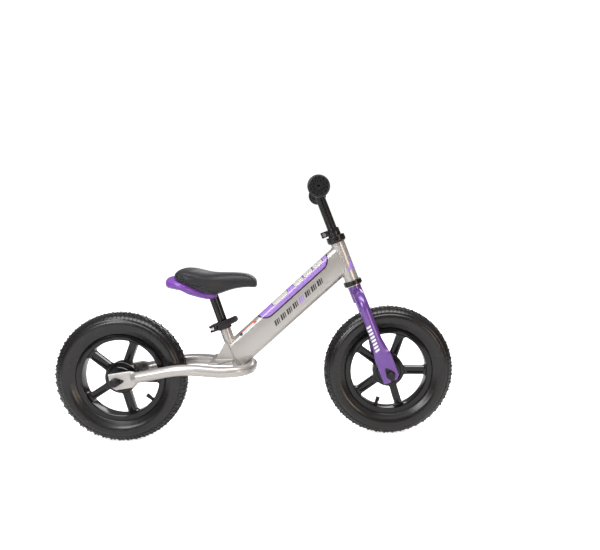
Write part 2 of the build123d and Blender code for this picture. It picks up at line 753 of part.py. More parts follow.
with BuildPart() as clamp_skewer:
    with BuildSketch(seat_side_plane(collar_ear_half_width + skewer_nut_width)):
        with Locations((skewer_offset, skewer_height)):
            Circle(skewer_radius)
    extrude(amount=collar_ear_half_width + skewer_nut_width + lever_pivot_side)
    eye_height = lever_boss_pitch - lever_boss_thickness - 2 * seat_gap
    with BuildSketch(seat_plane(skewer_height - eye_height / 2)):
        with Locations((skewer_offset, -lever_pivot_side)):
            Circle(lever_eye_radius)
    extrude(amount=eye_height)
    with BuildSketch(seat_plane(skewer_height - eye_height)):
        with Locations((skewer_offset, -lever_pivot_side)):
            Circle(lever_pin_radius + running_gap)
    extrude(amount=2 * eye_height, mode=Mode.SUBTRACT)
save(clamp_skewer.part, "clamp_skewer")

with BuildPart() as skewer_nut:
    with BuildSketch(seat_side_plane(collar_ear_half_width)):
        with Locations((skewer_offset, skewer_height)):
            Circle(skewer_nut_radius)
    extrude(amount=-skewer_nut_width)
    chamfer(skewer_nut.edges().sort_by(Axis.Y)[-1], skewer_nut_chamfer)
    with BuildSketch(seat_side_plane(collar_ear_half_width)):
        with Locations((skewer_offset, skewer_height)):
            Circle(skewer_radius + touch_gap)
    extrude(amount=-skewer_nut_width, mode=Mode.SUBTRACT)
save(skewer_nut.part, "skewer_nut")

with BuildPart() as cam_washer:
    with BuildSketch(seat_side_plane(-collar_ear_half_width)):
        with Locations((skewer_offset, skewer_height)):
            Circle(collar_ear_height / 2 - seat_gap)
            Circle(skewer_radius + touch_gap, mode=Mode.SUBTRACT)
    extrude(amount=cam_washer_thickness)
save(cam_washer.part, "cam_washer")

lever_tip = skewer_offset + lever_arm_reach
lever_middle = (skewer_offset + lever_tip) / 2
lever_side = -lever_pivot_side
boss_top = (lever_boss_pitch + lever_boss_thickness) / 2
with BuildPart() as lever_outline:
    with BuildSketch(seat_side_plane()):
        with BuildLine():
            Polyline((skewer_offset - lever_root_reach, skewer_height - boss_top),
                     (skewer_offset + lever_root_reach, skewer_height - boss_top),
                     (lever_tip, skewer_height + lever_arm_rise - lever_arm_height / 2),
                     (lever_tip, skewer_height + lever_arm_rise + lever_arm_height / 2),
                     (skewer_offset + lever_root_reach, skewer_height + boss_top),
                     (skewer_offset - lever_root_reach, skewer_height + boss_top), close=True)
        make_face()
    extrude(amount=2 * lever_pivot_side, both=True)
    fillet(lever_outline.edges().filter_by(Axis.Y).sort_by(Axis.X)[-2:], lever_tip_round)
with BuildPart() as quick_release_lever:
    with BuildSketch(seat_plane(skewer_height - lever_arm_height)) as lever_plan:
        with BuildLine():
            inner_side = lever_side + lever_arm_thickness / 2
            outer_side = lever_side - lever_arm_thickness / 2
            ThreePointArc((skewer_offset, inner_side), (lever_middle, inner_side - lever_arm_bow),
                          (lever_tip, inner_side + lever_arm_bow))
            Line((lever_tip, inner_side + lever_arm_bow), (lever_tip, outer_side + lever_arm_bow))
            ThreePointArc((lever_tip, outer_side + lever_arm_bow),
                          (lever_middle, outer_side - lever_arm_bow), (skewer_offset, outer_side))
            Line((skewer_offset, outer_side), (skewer_offset, inner_side))
        make_face()
        with Locations((skewer_offset, lever_side + lever_cam_offset)):
            Circle(lever_boss_radius)
    extrude(amount=2 * lever_arm_height)
    add(lever_outline.part, mode=Mode.INTERSECT)
    with BuildSketch(seat_side_plane()):
        with Locations((skewer_offset, skewer_height)):
            Rectangle(lever_fork_length, lever_boss_pitch - lever_boss_thickness)
    extrude(amount=2 * lever_pivot_side, both=True, mode=Mode.SUBTRACT)
    with BuildSketch(seat_plane(skewer_height - lever_arm_height)):
        with Locations((skewer_offset, lever_side)):
            Circle(lever_pin_radius)
    extrude(amount=2 * lever_arm_height, mode=Mode.SUBTRACT)
save(quick_release_lever.part, "quick_release_lever")

with BuildPart() as lever_pin:
    with BuildSketch(seat_plane(skewer_height - boss_top)):
        with Locations((skewer_offset, lever_side)):
            Circle(lever_pin_radius)
    extrude(amount=2 * boss_top)
save(lever_pin.part, "lever_pin")

# ---- seatpost and saddle ------------------------------------------------------------------------------
with BuildPart() as seatpost:
    with BuildSketch(seat_plane(seatpost_bottom)):
        Circle(seatpost_radius)
        Circle(seatpost_radius - seatpost_wall, mode=Mode.SUBTRACT)
    extrude(amount=seatpost_top - seatpost_bottom)
save(seatpost.part, "seatpost")


def saddle_sections(rows):
    # rows of (x, half width, bottom, side, top): domed sections square to the bike, lofted in order
    with BuildPart() as body:
        for x, half_width, bottom, side, top in rows:
            with BuildSketch(Plane(origin=(x, 0, 0), x_dir=(0, 1, 0), z_dir=(1, 0, 0))):
                with BuildLine():
                    ThreePointArc((-half_width, side), (0, top), (half_width, side))
                    ThreePointArc((half_width, side), (0, bottom), (-half_width, side))
                make_face()
        loft()
    return body.part


with BuildPart() as post_core:
    with BuildSketch(seat_plane(seatpost_bottom)):
        Circle(seatpost_radius + touch_gap)
    extrude(amount=seatpost_top + seat_gap - seatpost_bottom)
pad = saddle_sections([
    (-173, 40, 382, 386, 391), (-160, 56, 372, 384, 402.5), (-140, 65, 362, 380, 404),
    (-112, 61, 347, 371, 398), (-86, 45, 340, 364, 392.5), (-55, 31, 350, 365, 391.5),
    (-20, 26, 356, 366, 390), (2, 23, 356, 364, 381.5), (10, 19, 356, 362, 373)])
shell = saddle_sections([
    (-196, 30, 359, 370, 380), (-184, 44, 355.5, 370, 386), (-165, 53, 351, 365, 386),
    (-140, 50, 340, 355, 376), (-112, 34, 330, 342, 362), (-92, 19, 329, 337, 350),
    (-80, 16, 334, 339, 347)])
save((pad - post_core.part).solids().sort_by(SortBy.VOLUME)[-1], "saddle_pad")
save((shell - pad - post_core.part).solids().sort_by(SortBy.VOLUME)[-1], "saddle_shell")


# ---- wheels: the same wheel twice, turned to its own angle ---------------------------------------------
def window_cutter(x, spoke_angle):
    # the five openings between the spokes, with rounded corners
    with BuildPart() as windows:
        with BuildSketch(side_plane(x, axle_z)) as openings:
            Circle(window_radius)
            Circle(hub_disc_radius, mode=Mode.SUBTRACT)
            with PolarLocations(0, spoke_count, start_angle=spoke_angle):
                with Locations((window_radius / 2 + spoke_width, 0)):
                    Rectangle(window_radius + spoke_width, spoke_width, mode=Mode.SUBTRACT)
            fillet(openings.vertices(), window_corner)
        extrude(amount=2 * spoke_half_depth, both=True)
    return windows.part


def mag_wheel(x, spoke_angle, valve_angle):
    with BuildPart() as wheel:
        with BuildSketch(axle_plane(x, axle_z)):
            with BuildLine():
                bevel_radius = window_radius + rim_edge_bevel
                bevel_side = rim_half_width - rim_edge_bevel
                lip_side = rim_half_width - rim_lip_width
                Polyline((window_radius, bevel_side), (bevel_radius, rim_half_width),
                         (rim_lip_radius, rim_half_width), (rim_lip_radius, lip_side),
                         (rim_seat_radius, lip_side),
                         (rim_seat_radius, -lip_side), (rim_lip_radius, -lip_side),
                         (rim_lip_radius, -rim_half_width), (bevel_radius, -rim_half_width),
                         (window_radius, -bevel_side), close=True)
            make_face()
        revolve(axis=axle_line(x, axle_z))
        with BuildSketch(axle_plane(x, axle_z)):
            with BuildLine():
                seat_side = hub_barrel_half_width - bearing_width
                half_hub = [(hub_bore, 0), (hub_bore, seat_side), (bearing_radius + touch_gap, seat_side),
                            (bearing_radius + touch_gap, hub_barrel_half_width),
                            (hub_barrel_radius, hub_barrel_half_width),
                            (hub_barrel_radius, hub_step_half_width),
                            (hub_step_radius - hub_step_chamfer, hub_step_half_width),
                            (hub_step_radius, hub_step_half_width - hub_step_chamfer),
                            (hub_step_radius, hub_disc_half_width),
                            (hub_disc_radius - hub_disc_chamfer, hub_disc_half_width),
                            (hub_disc_radius, hub_disc_half_width - hub_disc_chamfer)]
                Polyline(*half_hub, *[(radius, -side) for radius, side in half_hub[:0:-1]], close=True)
            make_face()
        revolve(axis=axle_line(x, axle_z))
        with BuildSketch(side_plane(x, axle_z)):
            Circle(window_radius + rim_edge_bevel)
            Circle(hub_bore + spoke_root_inset, mode=Mode.SUBTRACT)
        extrude(amount=spoke_half_depth, both=True)
        add(window_cutter(x, spoke_angle), mode=Mode.SUBTRACT)
        groove_length = window_radius - hub_disc_radius - 2 * window_corner
        groove_centre = (window_radius + hub_disc_radius) / 2
        for face_side in (-1, 1):
            with BuildSketch(side_plane(x, axle_z, face_side * spoke_half_depth)):
                with PolarLocations(groove_centre, spoke_count, start_angle=spoke_angle):
                    SlotOverall(groove_length, spoke_groove_width)
            extrude(amount=face_side * spoke_groove_depth, mode=Mode.SUBTRACT)
        with BuildSketch(Plane(origin=(x, 0, axle_z), x_dir=(0, 1, 0), z_dir=way(valve_angle))):
            Circle(valve_radius + touch_gap)
        extrude(amount=rim_lip_radius, mode=Mode.SUBTRACT)
    return wheel.part


def inner_wall(gap):
    # half of the tyre's inner face, from bead to crown, drawn in by the gap: (radius, side) points
    widest = (bead_radius + tyre_radius) / 2
    return [(bead_radius + gap, bead_half_width - tyre_wall - gap),
            (widest, tyre_half_width - tyre_wall - gap),
            (tyre_shoulder_radius - tyre_wall - gap, tyre_shoulder_half_width - tyre_wall / 2 - gap),
            (tyre_radius - tyre_wall - gap, 0)]


def mirrored(points):
    return [(radius, -side) for radius, side in points]


def tyre(x):
    outer_bead = (bead_radius, bead_half_width)
    outer_wide = ((bead_radius + tyre_radius) / 2, tyre_half_width)
    outer_shoulder = (tyre_shoulder_radius, tyre_shoulder_half_width)
    outer = [outer_bead, outer_wide, outer_shoulder, (tyre_radius, 0)]
    inner = inner_wall(0)
    seat = rim_seat_radius + touch_gap
    with BuildPart() as body:
        with BuildSketch(axle_plane(x, axle_z)):
            with BuildLine():
                for wall, far_wall in ((outer, mirrored(outer)), (inner, mirrored(inner))):
                    ThreePointArc(wall[0], wall[1], wall[2])
                    ThreePointArc(wall[2], wall[3], far_wall[2])
                    ThreePointArc(far_wall[2], far_wall[1], far_wall[0])
                Polyline(outer[0], (seat, outer[0][1]), (seat, inner[0][1]), inner[0])
                Polyline(*mirrored([outer[0], (seat, outer[0][1]), (seat, inner[0][1]), inner[0]]))
            make_face()
        revolve(axis=axle_line(x, axle_z))
    return body.part


def inner_tube(x):
    # a thin tube that follows the inside of the tyre, a small gap in from it
    wall = inner_wall(seat_gap)
    far_wall = mirrored(wall)
    foot_radius = rim_seat_radius + valve_foot_height + seat_gap
    with BuildPart() as body:
        with BuildSketch(axle_plane(x, axle_z)):
            with BuildLine():
                ThreePointArc(wall[0], wall[1], wall[2])
                ThreePointArc(wall[2], wall[3], far_wall[2])
                ThreePointArc(far_wall[2], far_wall[1], far_wall[0])
                Polyline(far_wall[0], (foot_radius, far_wall[0][1]), (foot_radius, wall[0][1]), wall[0])
            make_face()
            offset(amount=-tube_wall, mode=Mode.SUBTRACT)
        revolve(axis=axle_line(x, axle_z))
    return body.part


def valve(x, angle):
    # rubber stem with its foot on the inner tube's side of the rim
    stem_plane = Plane(origin=(x, 0, axle_z), x_dir=(0, 1, 0), z_dir=way(angle))
    with BuildPart() as stem:
        with BuildSketch(stem_plane.offset(valve_tip_radius)):
            Circle(valve_radius)
        extrude(amount=rim_seat_radius + valve_foot_height - valve_tip_radius)
        with BuildSketch(stem_plane.offset(rim_seat_radius + valve_foot_height)):
            Circle(valve_foot_radius)
        extrude(amount=seat_gap - valve_foot_height)
        with BuildSketch(stem_plane.offset(valve_tip_radius)):
            Circle(valve_hole_radius)
        extrude(amount=valve_cap_length, mode=Mode.SUBTRACT)
    with BuildPart() as cap:
        with BuildSketch(stem_plane.offset(valve_tip_radius - valve_cap_top)):
            Circle(valve_cap_radius)
        extrude(amount=valve_cap_length)
        with BuildSketch(stem_plane.offset(valve_tip_radius)):
            Circle(valve_radius + touch_gap)
        extrude(amount=valve_cap_length, mode=Mode.SUBTRACT)
    return stem.part, cap.part


def hub_bearings(x):
    with BuildPart() as bearing:
        with BuildSketch(side_plane(x, axle_z, -hub_barrel_half_width)):
            Circle(bearing_radius)
            Circle(axle_radius + running_gap, mode=Mode.SUBTRACT)
        extrude(amount=-bearing_width)
        with BuildSketch(side_plane(x, axle_z, -hub_barrel_half_width)):
            Circle(bearing_radius - bearing_outer_race)
            Circle(axle_radius + bearing_inner_race, mode=Mode.SUBTRACT)
        extrude(amount=-bearing_shield_depth, mode=Mode.SUBTRACT)
    return both_sides(bearing.part)


def axle_set(x, name, hook_angle):
    with BuildPart() as axle:
        with BuildSketch(side_plane(x, axle_z, axle_half_length)):
            Circle(axle_radius)
        extrude(amount=2 * axle_half_length)
        chamfer(axle.edges().filter_by(GeomType.CIRCLE), axle_chamfer)
    save(axle.part, f"{name}_axle")

    with BuildPart() as cone:
        with BuildSketch(side_plane(x, axle_z, -hub_barrel_half_width - seat_gap)):
            Circle(cone_radius)
            Circle(axle_radius + touch_gap, mode=Mode.SUBTRACT)
        extrude(amount=dropout_inner - hub_barrel_half_width - seat_gap)
        with BuildSketch(side_plane(x, axle_z, cone_collar_width - dropout_inner)):
            Circle(cone_collar_radius)
            Circle(axle_radius + touch_gap, mode=Mode.SUBTRACT)
        extrude(amount=cone_collar_width)
    save(both_sides(cone.part), f"{name}_axle_cones")

    with BuildPart() as washer:
        with BuildSketch(side_plane(x, axle_z, -dropout_outer)):
            Circle(washer_radius)
            with PolarLocations(washer_reach, 1, start_angle=hook_angle):
                Circle(washer_tip_radius)
            make_hull()
            Circle(axle_radius + touch_gap, mode=Mode.SUBTRACT)
        extrude(amount=washer_thickness)
        with BuildSketch(side_plane(x, axle_z, -dropout_outer)):
            with PolarLocations(washer_reach, 1, start_angle=hook_angle):
                Circle(washer_hook_radius)
        extrude(amount=-dropout_thickness)
    save(both_sides(washer.part), f"{name}_safety_washers")

    with BuildPart() as nut:
        with BuildSketch(side_plane(x, axle_z, -nut_inner)):
            RegularPolygon(nut_across_flats / 2, 6, major_radius=False)
            Circle(axle_radius + touch_gap, mode=Mode.SUBTRACT)
        extrude(amount=nut_height)
    save(both_sides(nut.part), f"{name}_axle_nuts")

    with BuildPart() as cap:
        with BuildSketch(axle_plane(x, axle_z)) as cap_profile:
            with BuildLine():
                cap_end = nut_inner + nut_cap_height
                cap_floor = axle_half_length + nut_cap_head_room
                well = nut_across_flats / 2 / cos(radians(30)) + seat_gap
                Polyline((well, nut_inner), (nut_cap_radius, nut_inner),
                         (nut_cap_radius, nut_inner + nut_cap_skirt),
                         (nut_cap_top_radius, cap_end), (0, cap_end), (0, cap_floor), (well, cap_floor),
                         close=True)
            make_face()
            fillet(cap_profile.vertices().group_by(Axis.Y)[-1].sort_by(Axis.X)[-1], nut_cap_round)
        revolve(axis=axle_line(x, axle_z))
    save(both_sides(cap.part), f"{name}_nut_caps")


def wheel_set(x, name, spoke_angle, valve_angle, hook_angle):
    save(mag_wheel(x, spoke_angle, valve_angle), f"{name}_mag_wheel")
    save(tyre(x), f"{name}_tyre")
    save(inner_tube(x), f"{name}_inner_tube")
    stem, cap = valve(x, valve_angle)
    save(stem, f"{name}_valve")
    save(cap, f"{name}_valve_cap")
    save(hub_bearings(x), f"{name}_hub_bearings")
    axle_set(x, name, hook_angle)


wheel_set(rear_axle_x, "rear", rear_spoke_angle, rear_valve_angle, rear_hook_angle)
wheel_set(front_axle_x, "front", front_spoke_angle, front_valve_angle, front_hook_angle)
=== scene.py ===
import json
from math import atan2, cos, hypot, pi, radians, sin, sqrt

import bmesh
import bpy
from mathutils import Matrix, Vector


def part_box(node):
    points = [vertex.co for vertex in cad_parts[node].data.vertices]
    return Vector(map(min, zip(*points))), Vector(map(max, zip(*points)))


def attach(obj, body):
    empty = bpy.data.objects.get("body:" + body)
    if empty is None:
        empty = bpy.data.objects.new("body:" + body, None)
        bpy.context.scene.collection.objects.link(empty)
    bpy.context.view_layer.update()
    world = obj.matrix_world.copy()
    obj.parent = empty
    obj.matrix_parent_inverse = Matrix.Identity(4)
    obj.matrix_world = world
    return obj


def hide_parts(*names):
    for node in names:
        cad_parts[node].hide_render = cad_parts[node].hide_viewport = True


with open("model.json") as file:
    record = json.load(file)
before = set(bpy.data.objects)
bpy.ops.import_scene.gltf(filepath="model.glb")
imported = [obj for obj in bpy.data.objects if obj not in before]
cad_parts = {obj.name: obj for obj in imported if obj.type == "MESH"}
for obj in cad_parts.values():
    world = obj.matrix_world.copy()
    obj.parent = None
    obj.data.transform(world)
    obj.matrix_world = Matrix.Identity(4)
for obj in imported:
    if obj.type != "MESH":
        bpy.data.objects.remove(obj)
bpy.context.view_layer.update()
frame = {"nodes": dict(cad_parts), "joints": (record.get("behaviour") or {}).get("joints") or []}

nodes = frame["nodes"]
joints = {joint["name"]: joint for joint in frame["joints"]}
print("frame loaded with", len(nodes), "nodes")

mm = 0.001


def boxCentre(node):
    low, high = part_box(node)
    return (low + high) / 2


rearAxle = boxCentre("rear_axle")
frontAxle = boxCentre("front_axle")
headFoot = Vector(joints["steering"]["pos_m"])
headUp = Vector(joints["steering"]["axis"]).normalized()
headForward = Vector((headUp.z, 0, -headUp.x))
seatUp = Vector(joints["seat_height"]["axis"]).normalized()
seatForward = Vector((seatUp.z, 0, -seatUp.x))
barCentre = boxCentre("handlebar")
# a point on the main tube's axis at the foot of the seat tube, and the tube's slope
seatFoot = Vector((-0.0485, 0, 0.196))
tubeSlope = radians(40.8)
tubeAlong = Vector((cos(tubeSlope), 0, sin(tubeSlope)))
tubeAcross = Vector((-tubeAlong.z, 0, tubeAlong.x))


def deselectAll():
    if bpy.context.mode != "OBJECT":
        bpy.ops.object.mode_set(mode="OBJECT")
    bpy.ops.object.select_all(action="DESELECT")


def startEdit(piece, kind="FACE"):
    deselectAll()
    piece.select_set(True)
    bpy.context.view_layer.objects.active = piece
    bpy.ops.object.mode_set(mode="EDIT")
    bpy.ops.mesh.select_mode(type=kind)
    bpy.ops.mesh.select_all(action="DESELECT")


def selectFaces(piece, wanted):
    work = bmesh.from_edit_mesh(piece.data)
    for face in work.faces:
        face.select_set(wanted(face.calc_center_median(), face.normal))
    bmesh.update_edit_mesh(piece.data)


def tidyMesh(piece):
    startEdit(piece, "VERT")
    bpy.ops.mesh.select_all(action="SELECT")
    bpy.ops.mesh.remove_doubles(threshold=0.01 * mm)
    bpy.ops.mesh.normals_make_consistent(inside=False)
    bpy.ops.object.mode_set(mode="OBJECT")


def applyModifier(piece, kind, **settings):
    modifier = piece.modifiers.new(kind.title(), kind)
    for key, value in settings.items():
        setattr(modifier, key, value)
    bpy.context.view_layer.objects.active = piece
    bpy.ops.object.modifier_apply(modifier=modifier.name)


def smooth(piece, degrees=35):
    deselectAll()
    piece.select_set(True)
    bpy.context.view_layer.objects.active = piece
    bpy.ops.object.shade_smooth_by_angle(angle=radians(degrees))


def placed(piece, name, body, material, stands=()):
    deselectAll()
    piece.select_set(True)
    bpy.context.view_layer.objects.active = piece
    bpy.ops.object.transform_apply(location=True, rotation=True, scale=True)
    piece.name = name
    piece.data.name = name
    piece.data.materials.clear()
    piece.data.materials.append(material)
    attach(piece, body)
    if stands:
        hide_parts(*stands)


def mirroredCopy(piece):
    # the same piece with its own mesh, on the other side of the bike
    twin = piece.copy()
    twin.data = piece.data.copy()
    twin.scale = (1, -1, 1)
    bpy.context.scene.collection.objects.link(twin)
    deselectAll()
    twin.select_set(True)
    bpy.context.view_layer.objects.active = twin
    bpy.ops.object.transform_apply(location=True, rotation=True, scale=True)
    tidyMesh(twin)
    return twin


def dotAt(point):
    deselectAll()
    bpy.ops.mesh.primitive_plane_add(size=mm, location=point)
    piece = bpy.context.active_object
    bpy.ops.object.transform_apply(location=True)
    startEdit(piece, "VERT")
    bpy.ops.mesh.select_all(action="SELECT")
    bpy.ops.mesh.merge(type="CENTER")
    return piece


def spunPiece(profile, centre, steps):
    # profile: (radius, side) in mm, round an axis along Y; drawn point by point, then spun
    spots = [centre + Vector((0, side * mm, radius * mm)) for radius, side in profile]
    piece = dotAt(spots[0])
    for before, after in zip(spots, spots[1:]):
        bpy.ops.mesh.extrude_region_move(TRANSFORM_OT_translate={"value": after - before})
    bpy.ops.mesh.select_all(action="SELECT")
    bpy.ops.mesh.spin(steps=steps, angle=2 * pi, center=centre, axis=(0, 1, 0), use_auto_merge=True)
    bpy.ops.object.mode_set(mode="OBJECT")
    tidyMesh(piece)
    return piece


def roundedCopy(node, width, segments=2):
    # the CAD piece again, welded into one skin, with its sharp edges rounded
    piece = nodes[node].copy()
    piece.data = nodes[node].data.copy()
    for key in list(piece.keys()):
        del piece[key]
    piece.parent = None
    bpy.context.scene.collection.objects.link(piece)
    startEdit(piece, "VERT")
    bpy.ops.mesh.select_all(action="SELECT")
    bpy.ops.mesh.remove_doubles(threshold=0.002 * mm)
    bpy.ops.mesh.customdata_custom_splitnormals_clear()
    bpy.ops.mesh.dissolve_limited(angle_limit=radians(1.5))
    bpy.ops.object.mode_set(mode="OBJECT")
    applyModifier(piece, "BEVEL", width=width * mm, segments=segments, limit_method="ANGLE",
                  angle_limit=radians(40), use_clamp_overlap=True)
    smooth(piece, 40)
    return piece


def put(tree, kind, inputs=None, **settings):
    node = tree.nodes.new(kind)
    for key, value in settings.items():
        setattr(node, key, value)
    for key, value in (inputs or {}).items():
        if isinstance(value, bpy.types.NodeSocket):
            tree.links.new(value, node.inputs[key])
        else:
            node.inputs[key].default_value = value
    return node


def maths(tree, operation, a, b=0.0, c=None, clamp=False):
    inputs = {0: a, 1: b}
    if c is not None:
        inputs[2] = c
    return put(tree, "ShaderNodeMath", inputs, operation=operation, use_clamp=clamp).outputs[0]


def newGroup(name, inputs, outputs):
    group = bpy.data.node_groups.new(name, "ShaderNodeTree")
    kinds = {"value": "NodeSocketFloat", "vector": "NodeSocketVector"}
    for label, kind, default in inputs:
        socket = group.interface.new_socket(label, in_out="INPUT", socket_type=kinds[kind])
        socket.default_value = default
    for label, kind in outputs:
        group.interface.new_socket(label, in_out="OUTPUT", socket_type=kinds[kind])
    return group, group.nodes.new("NodeGroupInput").outputs, group.nodes.new("NodeGroupOutput").inputs


def patchMaskGroup():
    # a rounded, slanted patch in a flat pair of coordinates: 1 inside, 0 outside
    group, given, result = newGroup("patchMask", [
        ("Coords", "vector", (0, 0, 0)), ("Centre", "vector", (0, 0, 0)), ("Half", "vector", (1, 1, 0)),
        ("Radius", "value", 0.0), ("Slant", "value", 0.0), ("Soft", "value", 0.15)], [("Mask", "value")])
    away = put(group, "ShaderNodeVectorMath", {0: given["Coords"], 1: given["Centre"]}, operation="SUBTRACT")
    parts = put(group, "ShaderNodeSeparateXYZ", {0: away.outputs[0]})
    lean = maths(group, "MULTIPLY", parts.outputs[1], given["Slant"])
    along = maths(group, "ABSOLUTE", maths(group, "SUBTRACT", parts.outputs[0], lean))
    across = maths(group, "ABSOLUTE", parts.outputs[1])
    half = put(group, "ShaderNodeSeparateXYZ", {0: given["Half"]})
    overA = maths(group, "SUBTRACT", along, maths(group, "SUBTRACT", half.outputs[0], given["Radius"]))
    overB = maths(group, "SUBTRACT", across, maths(group, "SUBTRACT", half.outputs[1], given["Radius"]))
    outA = maths(group, "MAXIMUM", overA, 0.0)
    outB = maths(group, "MAXIMUM", overB, 0.0)
    reach = maths(group, "SQRT", maths(
        group, "MULTIPLY_ADD", outA, outA, maths(group, "MULTIPLY", outB, outB)))
    inside = maths(group, "MINIMUM", maths(group, "MAXIMUM", overA, overB), 0.0)
    distance = maths(group, "SUBTRACT", maths(group, "ADD", reach, inside), given["Radius"])
    edge = put(group, "ShaderNodeMapRange", {0: distance, 1: given["Soft"], 2: maths(
        group, "MULTIPLY", given["Soft"], -1.0), 3: 0.0, 4: 1.0})
    group.links.new(edge.outputs[0], result["Mask"])
    return group


def flatCoordsGroup():
    # millimetres along two directions, measured from a point
    group, given, result = newGroup("flatCoords", [
        ("Position", "vector", (0, 0, 0)), ("From", "vector", (0, 0, 0)),
        ("Along", "vector", (1, 0, 0)), ("Across", "vector", (0, 0, 1))], [("Coords", "vector")])
    away = put(group, "ShaderNodeVectorMath", {0: given["Position"], 1: given["From"]}, operation="SUBTRACT")
    scaled = put(group, "ShaderNodeVectorMath", {0: away.outputs[0], "Scale": 1000.0}, operation="SCALE")
    along = put(group, "ShaderNodeVectorMath", {0: scaled.outputs[0], 1: given["Along"]},
                operation="DOT_PRODUCT")
    across = put(group, "ShaderNodeVectorMath", {0: scaled.outputs[0], 1: given["Across"]},
                 operation="DOT_PRODUCT")
    pair = put(group, "ShaderNodeCombineXYZ", {0: along.outputs["Value"], 1: across.outputs["Value"]})
    group.links.new(pair.outputs[0], result["Coords"])
    return group


def grainGroup():
    # fine moulded or sprayed grain with slow patches over it
    group, given, result = newGroup("surfaceGrain", [
        ("Position", "vector", (0, 0, 0)), ("Fine", "value", 900.0), ("Coarse", "value", 25.0),
        ("Patchiness", "value", 0.3)], [("Height", "value"), ("Patches", "value")])
    fine = put(group, "ShaderNodeTexNoise", {
        "Vector": given["Position"], "Scale": given["Fine"], "Detail": 3.0})
    coarse = put(group, "ShaderNodeTexNoise", {
        "Vector": given["Position"], "Scale": given["Coarse"], "Detail": 4.0})
    spread = maths(group, "MULTIPLY", maths(group, "SUBTRACT", coarse.outputs[0], 0.5), given["Patchiness"])
    group.links.new(fine.outputs[0], result["Height"])
    group.links.new(maths(group, "ADD", spread, 0.5, clamp=True), result["Patches"])
    return group


def edgeWearGroup():
    # bright or dull rub marks where the surface turns sharply, broken up by noise
    group, given, result = newGroup("edgeWear", [
        ("Position", "vector", (0, 0, 0)), ("Width", "value", 0.0008), ("Amount", "value", 0.5),
        ("Breakup", "value", 140.0)], [("Mask", "value")])
    soft = put(group, "ShaderNodeBevel", {"Radius": given["Width"]}, samples=4)
    plain = put(group, "ShaderNodeNewGeometry")
    same = put(group, "ShaderNodeVectorMath", {0: soft.outputs[0], 1: plain.outputs["Normal"]},
               operation="DOT_PRODUCT")
    turned = put(group, "ShaderNodeMapRange", {0: same.outputs["Value"], 1: 0.98, 2: 0.75, 3: 0.0, 4: 1.0})
    noise = put(group, "ShaderNodeTexNoise", {
        "Vector": given["Position"], "Scale": given["Breakup"], "Detail": 5.0})
    broken = put(group, "ShaderNodeMapRange", {0: noise.outputs[0], 1: 0.45, 2: 0.65, 3: 0.0, 4: 1.0})
    worn = maths(group, "MULTIPLY", turned.outputs[0], broken.outputs[0])
    mask = maths(group, "MULTIPLY", worn, given["Amount"])
    group.links.new(mask, result["Mask"])
    return group


def dustGroup():
    # a thin film that settles on faces turned upwards
    group, given, result = newGroup("dustFilm", [
        ("Position", "vector", (0, 0, 0)), ("Amount", "value", 0.2), ("Scale", "value", 40.0)],
        [("Mask", "value")])
    facing = put(group, "ShaderNodeNewGeometry")
    up = put(group, "ShaderNodeSeparateXYZ", {0: facing.outputs["Normal"]})
    lift = put(group, "ShaderNodeMapRange", {0: up.outputs[2], 1: -0.2, 2: 1.0, 3: 0.0, 4: 1.0})
    noise = put(group, "ShaderNodeTexNoise", {
        "Vector": given["Position"], "Scale": given["Scale"], "Detail": 6.0})
    settled = maths(group, "MULTIPLY", lift.outputs[0], noise.outputs[0])
    mask = maths(group, "MULTIPLY", settled, given["Amount"])
    group.links.new(mask, result["Mask"])
    return group


patchMask = patchMaskGroup()
flatCoords = flatCoordsGroup()
surfaceGrain = grainGroup()
edgeWear = edgeWearGroup()
dustFilm = dustGroup()


def useGroup(tree, group, **inputs):
    return put(tree, "ShaderNodeGroup", inputs, node_tree=group).outputs


def mixColour(tree, factor, first, second):
    return put(tree, "ShaderNodeMix", {0: factor, 6: first, 7: second}, data_type="RGBA").outputs[2]


def mixValue(tree, factor, first, second):
    return put(tree, "ShaderNodeMix", {0: factor, 2: first, 3: second}, data_type="FLOAT").outputs[0]


def newMaterial(name):
    material = bpy.data.materials.new(name)
    material.use_nodes = True
    tree = material.node_tree
    shader = tree.nodes["Principled BSDF"]
    position = put(tree, "ShaderNodeTexCoord").outputs["Object"]
    return material, tree, shader, position


def bumped(tree, shader, height, strength, distance=0.0002):
    bump = put(tree, "ShaderNodeBump", {"Height": height, "Strength": strength, "Distance": distance})
    tree.links.new(bump.outputs[0], shader.inputs["Normal"])


silver = (0.50, 0.48, 0.455, 1)
darkSilver = (0.40, 0.38, 0.36, 1)
forkPurple = (0.17, 0.068, 0.34, 1)
forkPurpleDeep = (0.12, 0.045, 0.26, 1)
decalPurple = (0.31, 0.18, 0.54, 1)
decalLine = (0.006, 0.003, 0.012, 1)
decalBlack = (0.005, 0.004, 0.006, 1)
white = (0.86, 0.86, 0.86, 1)

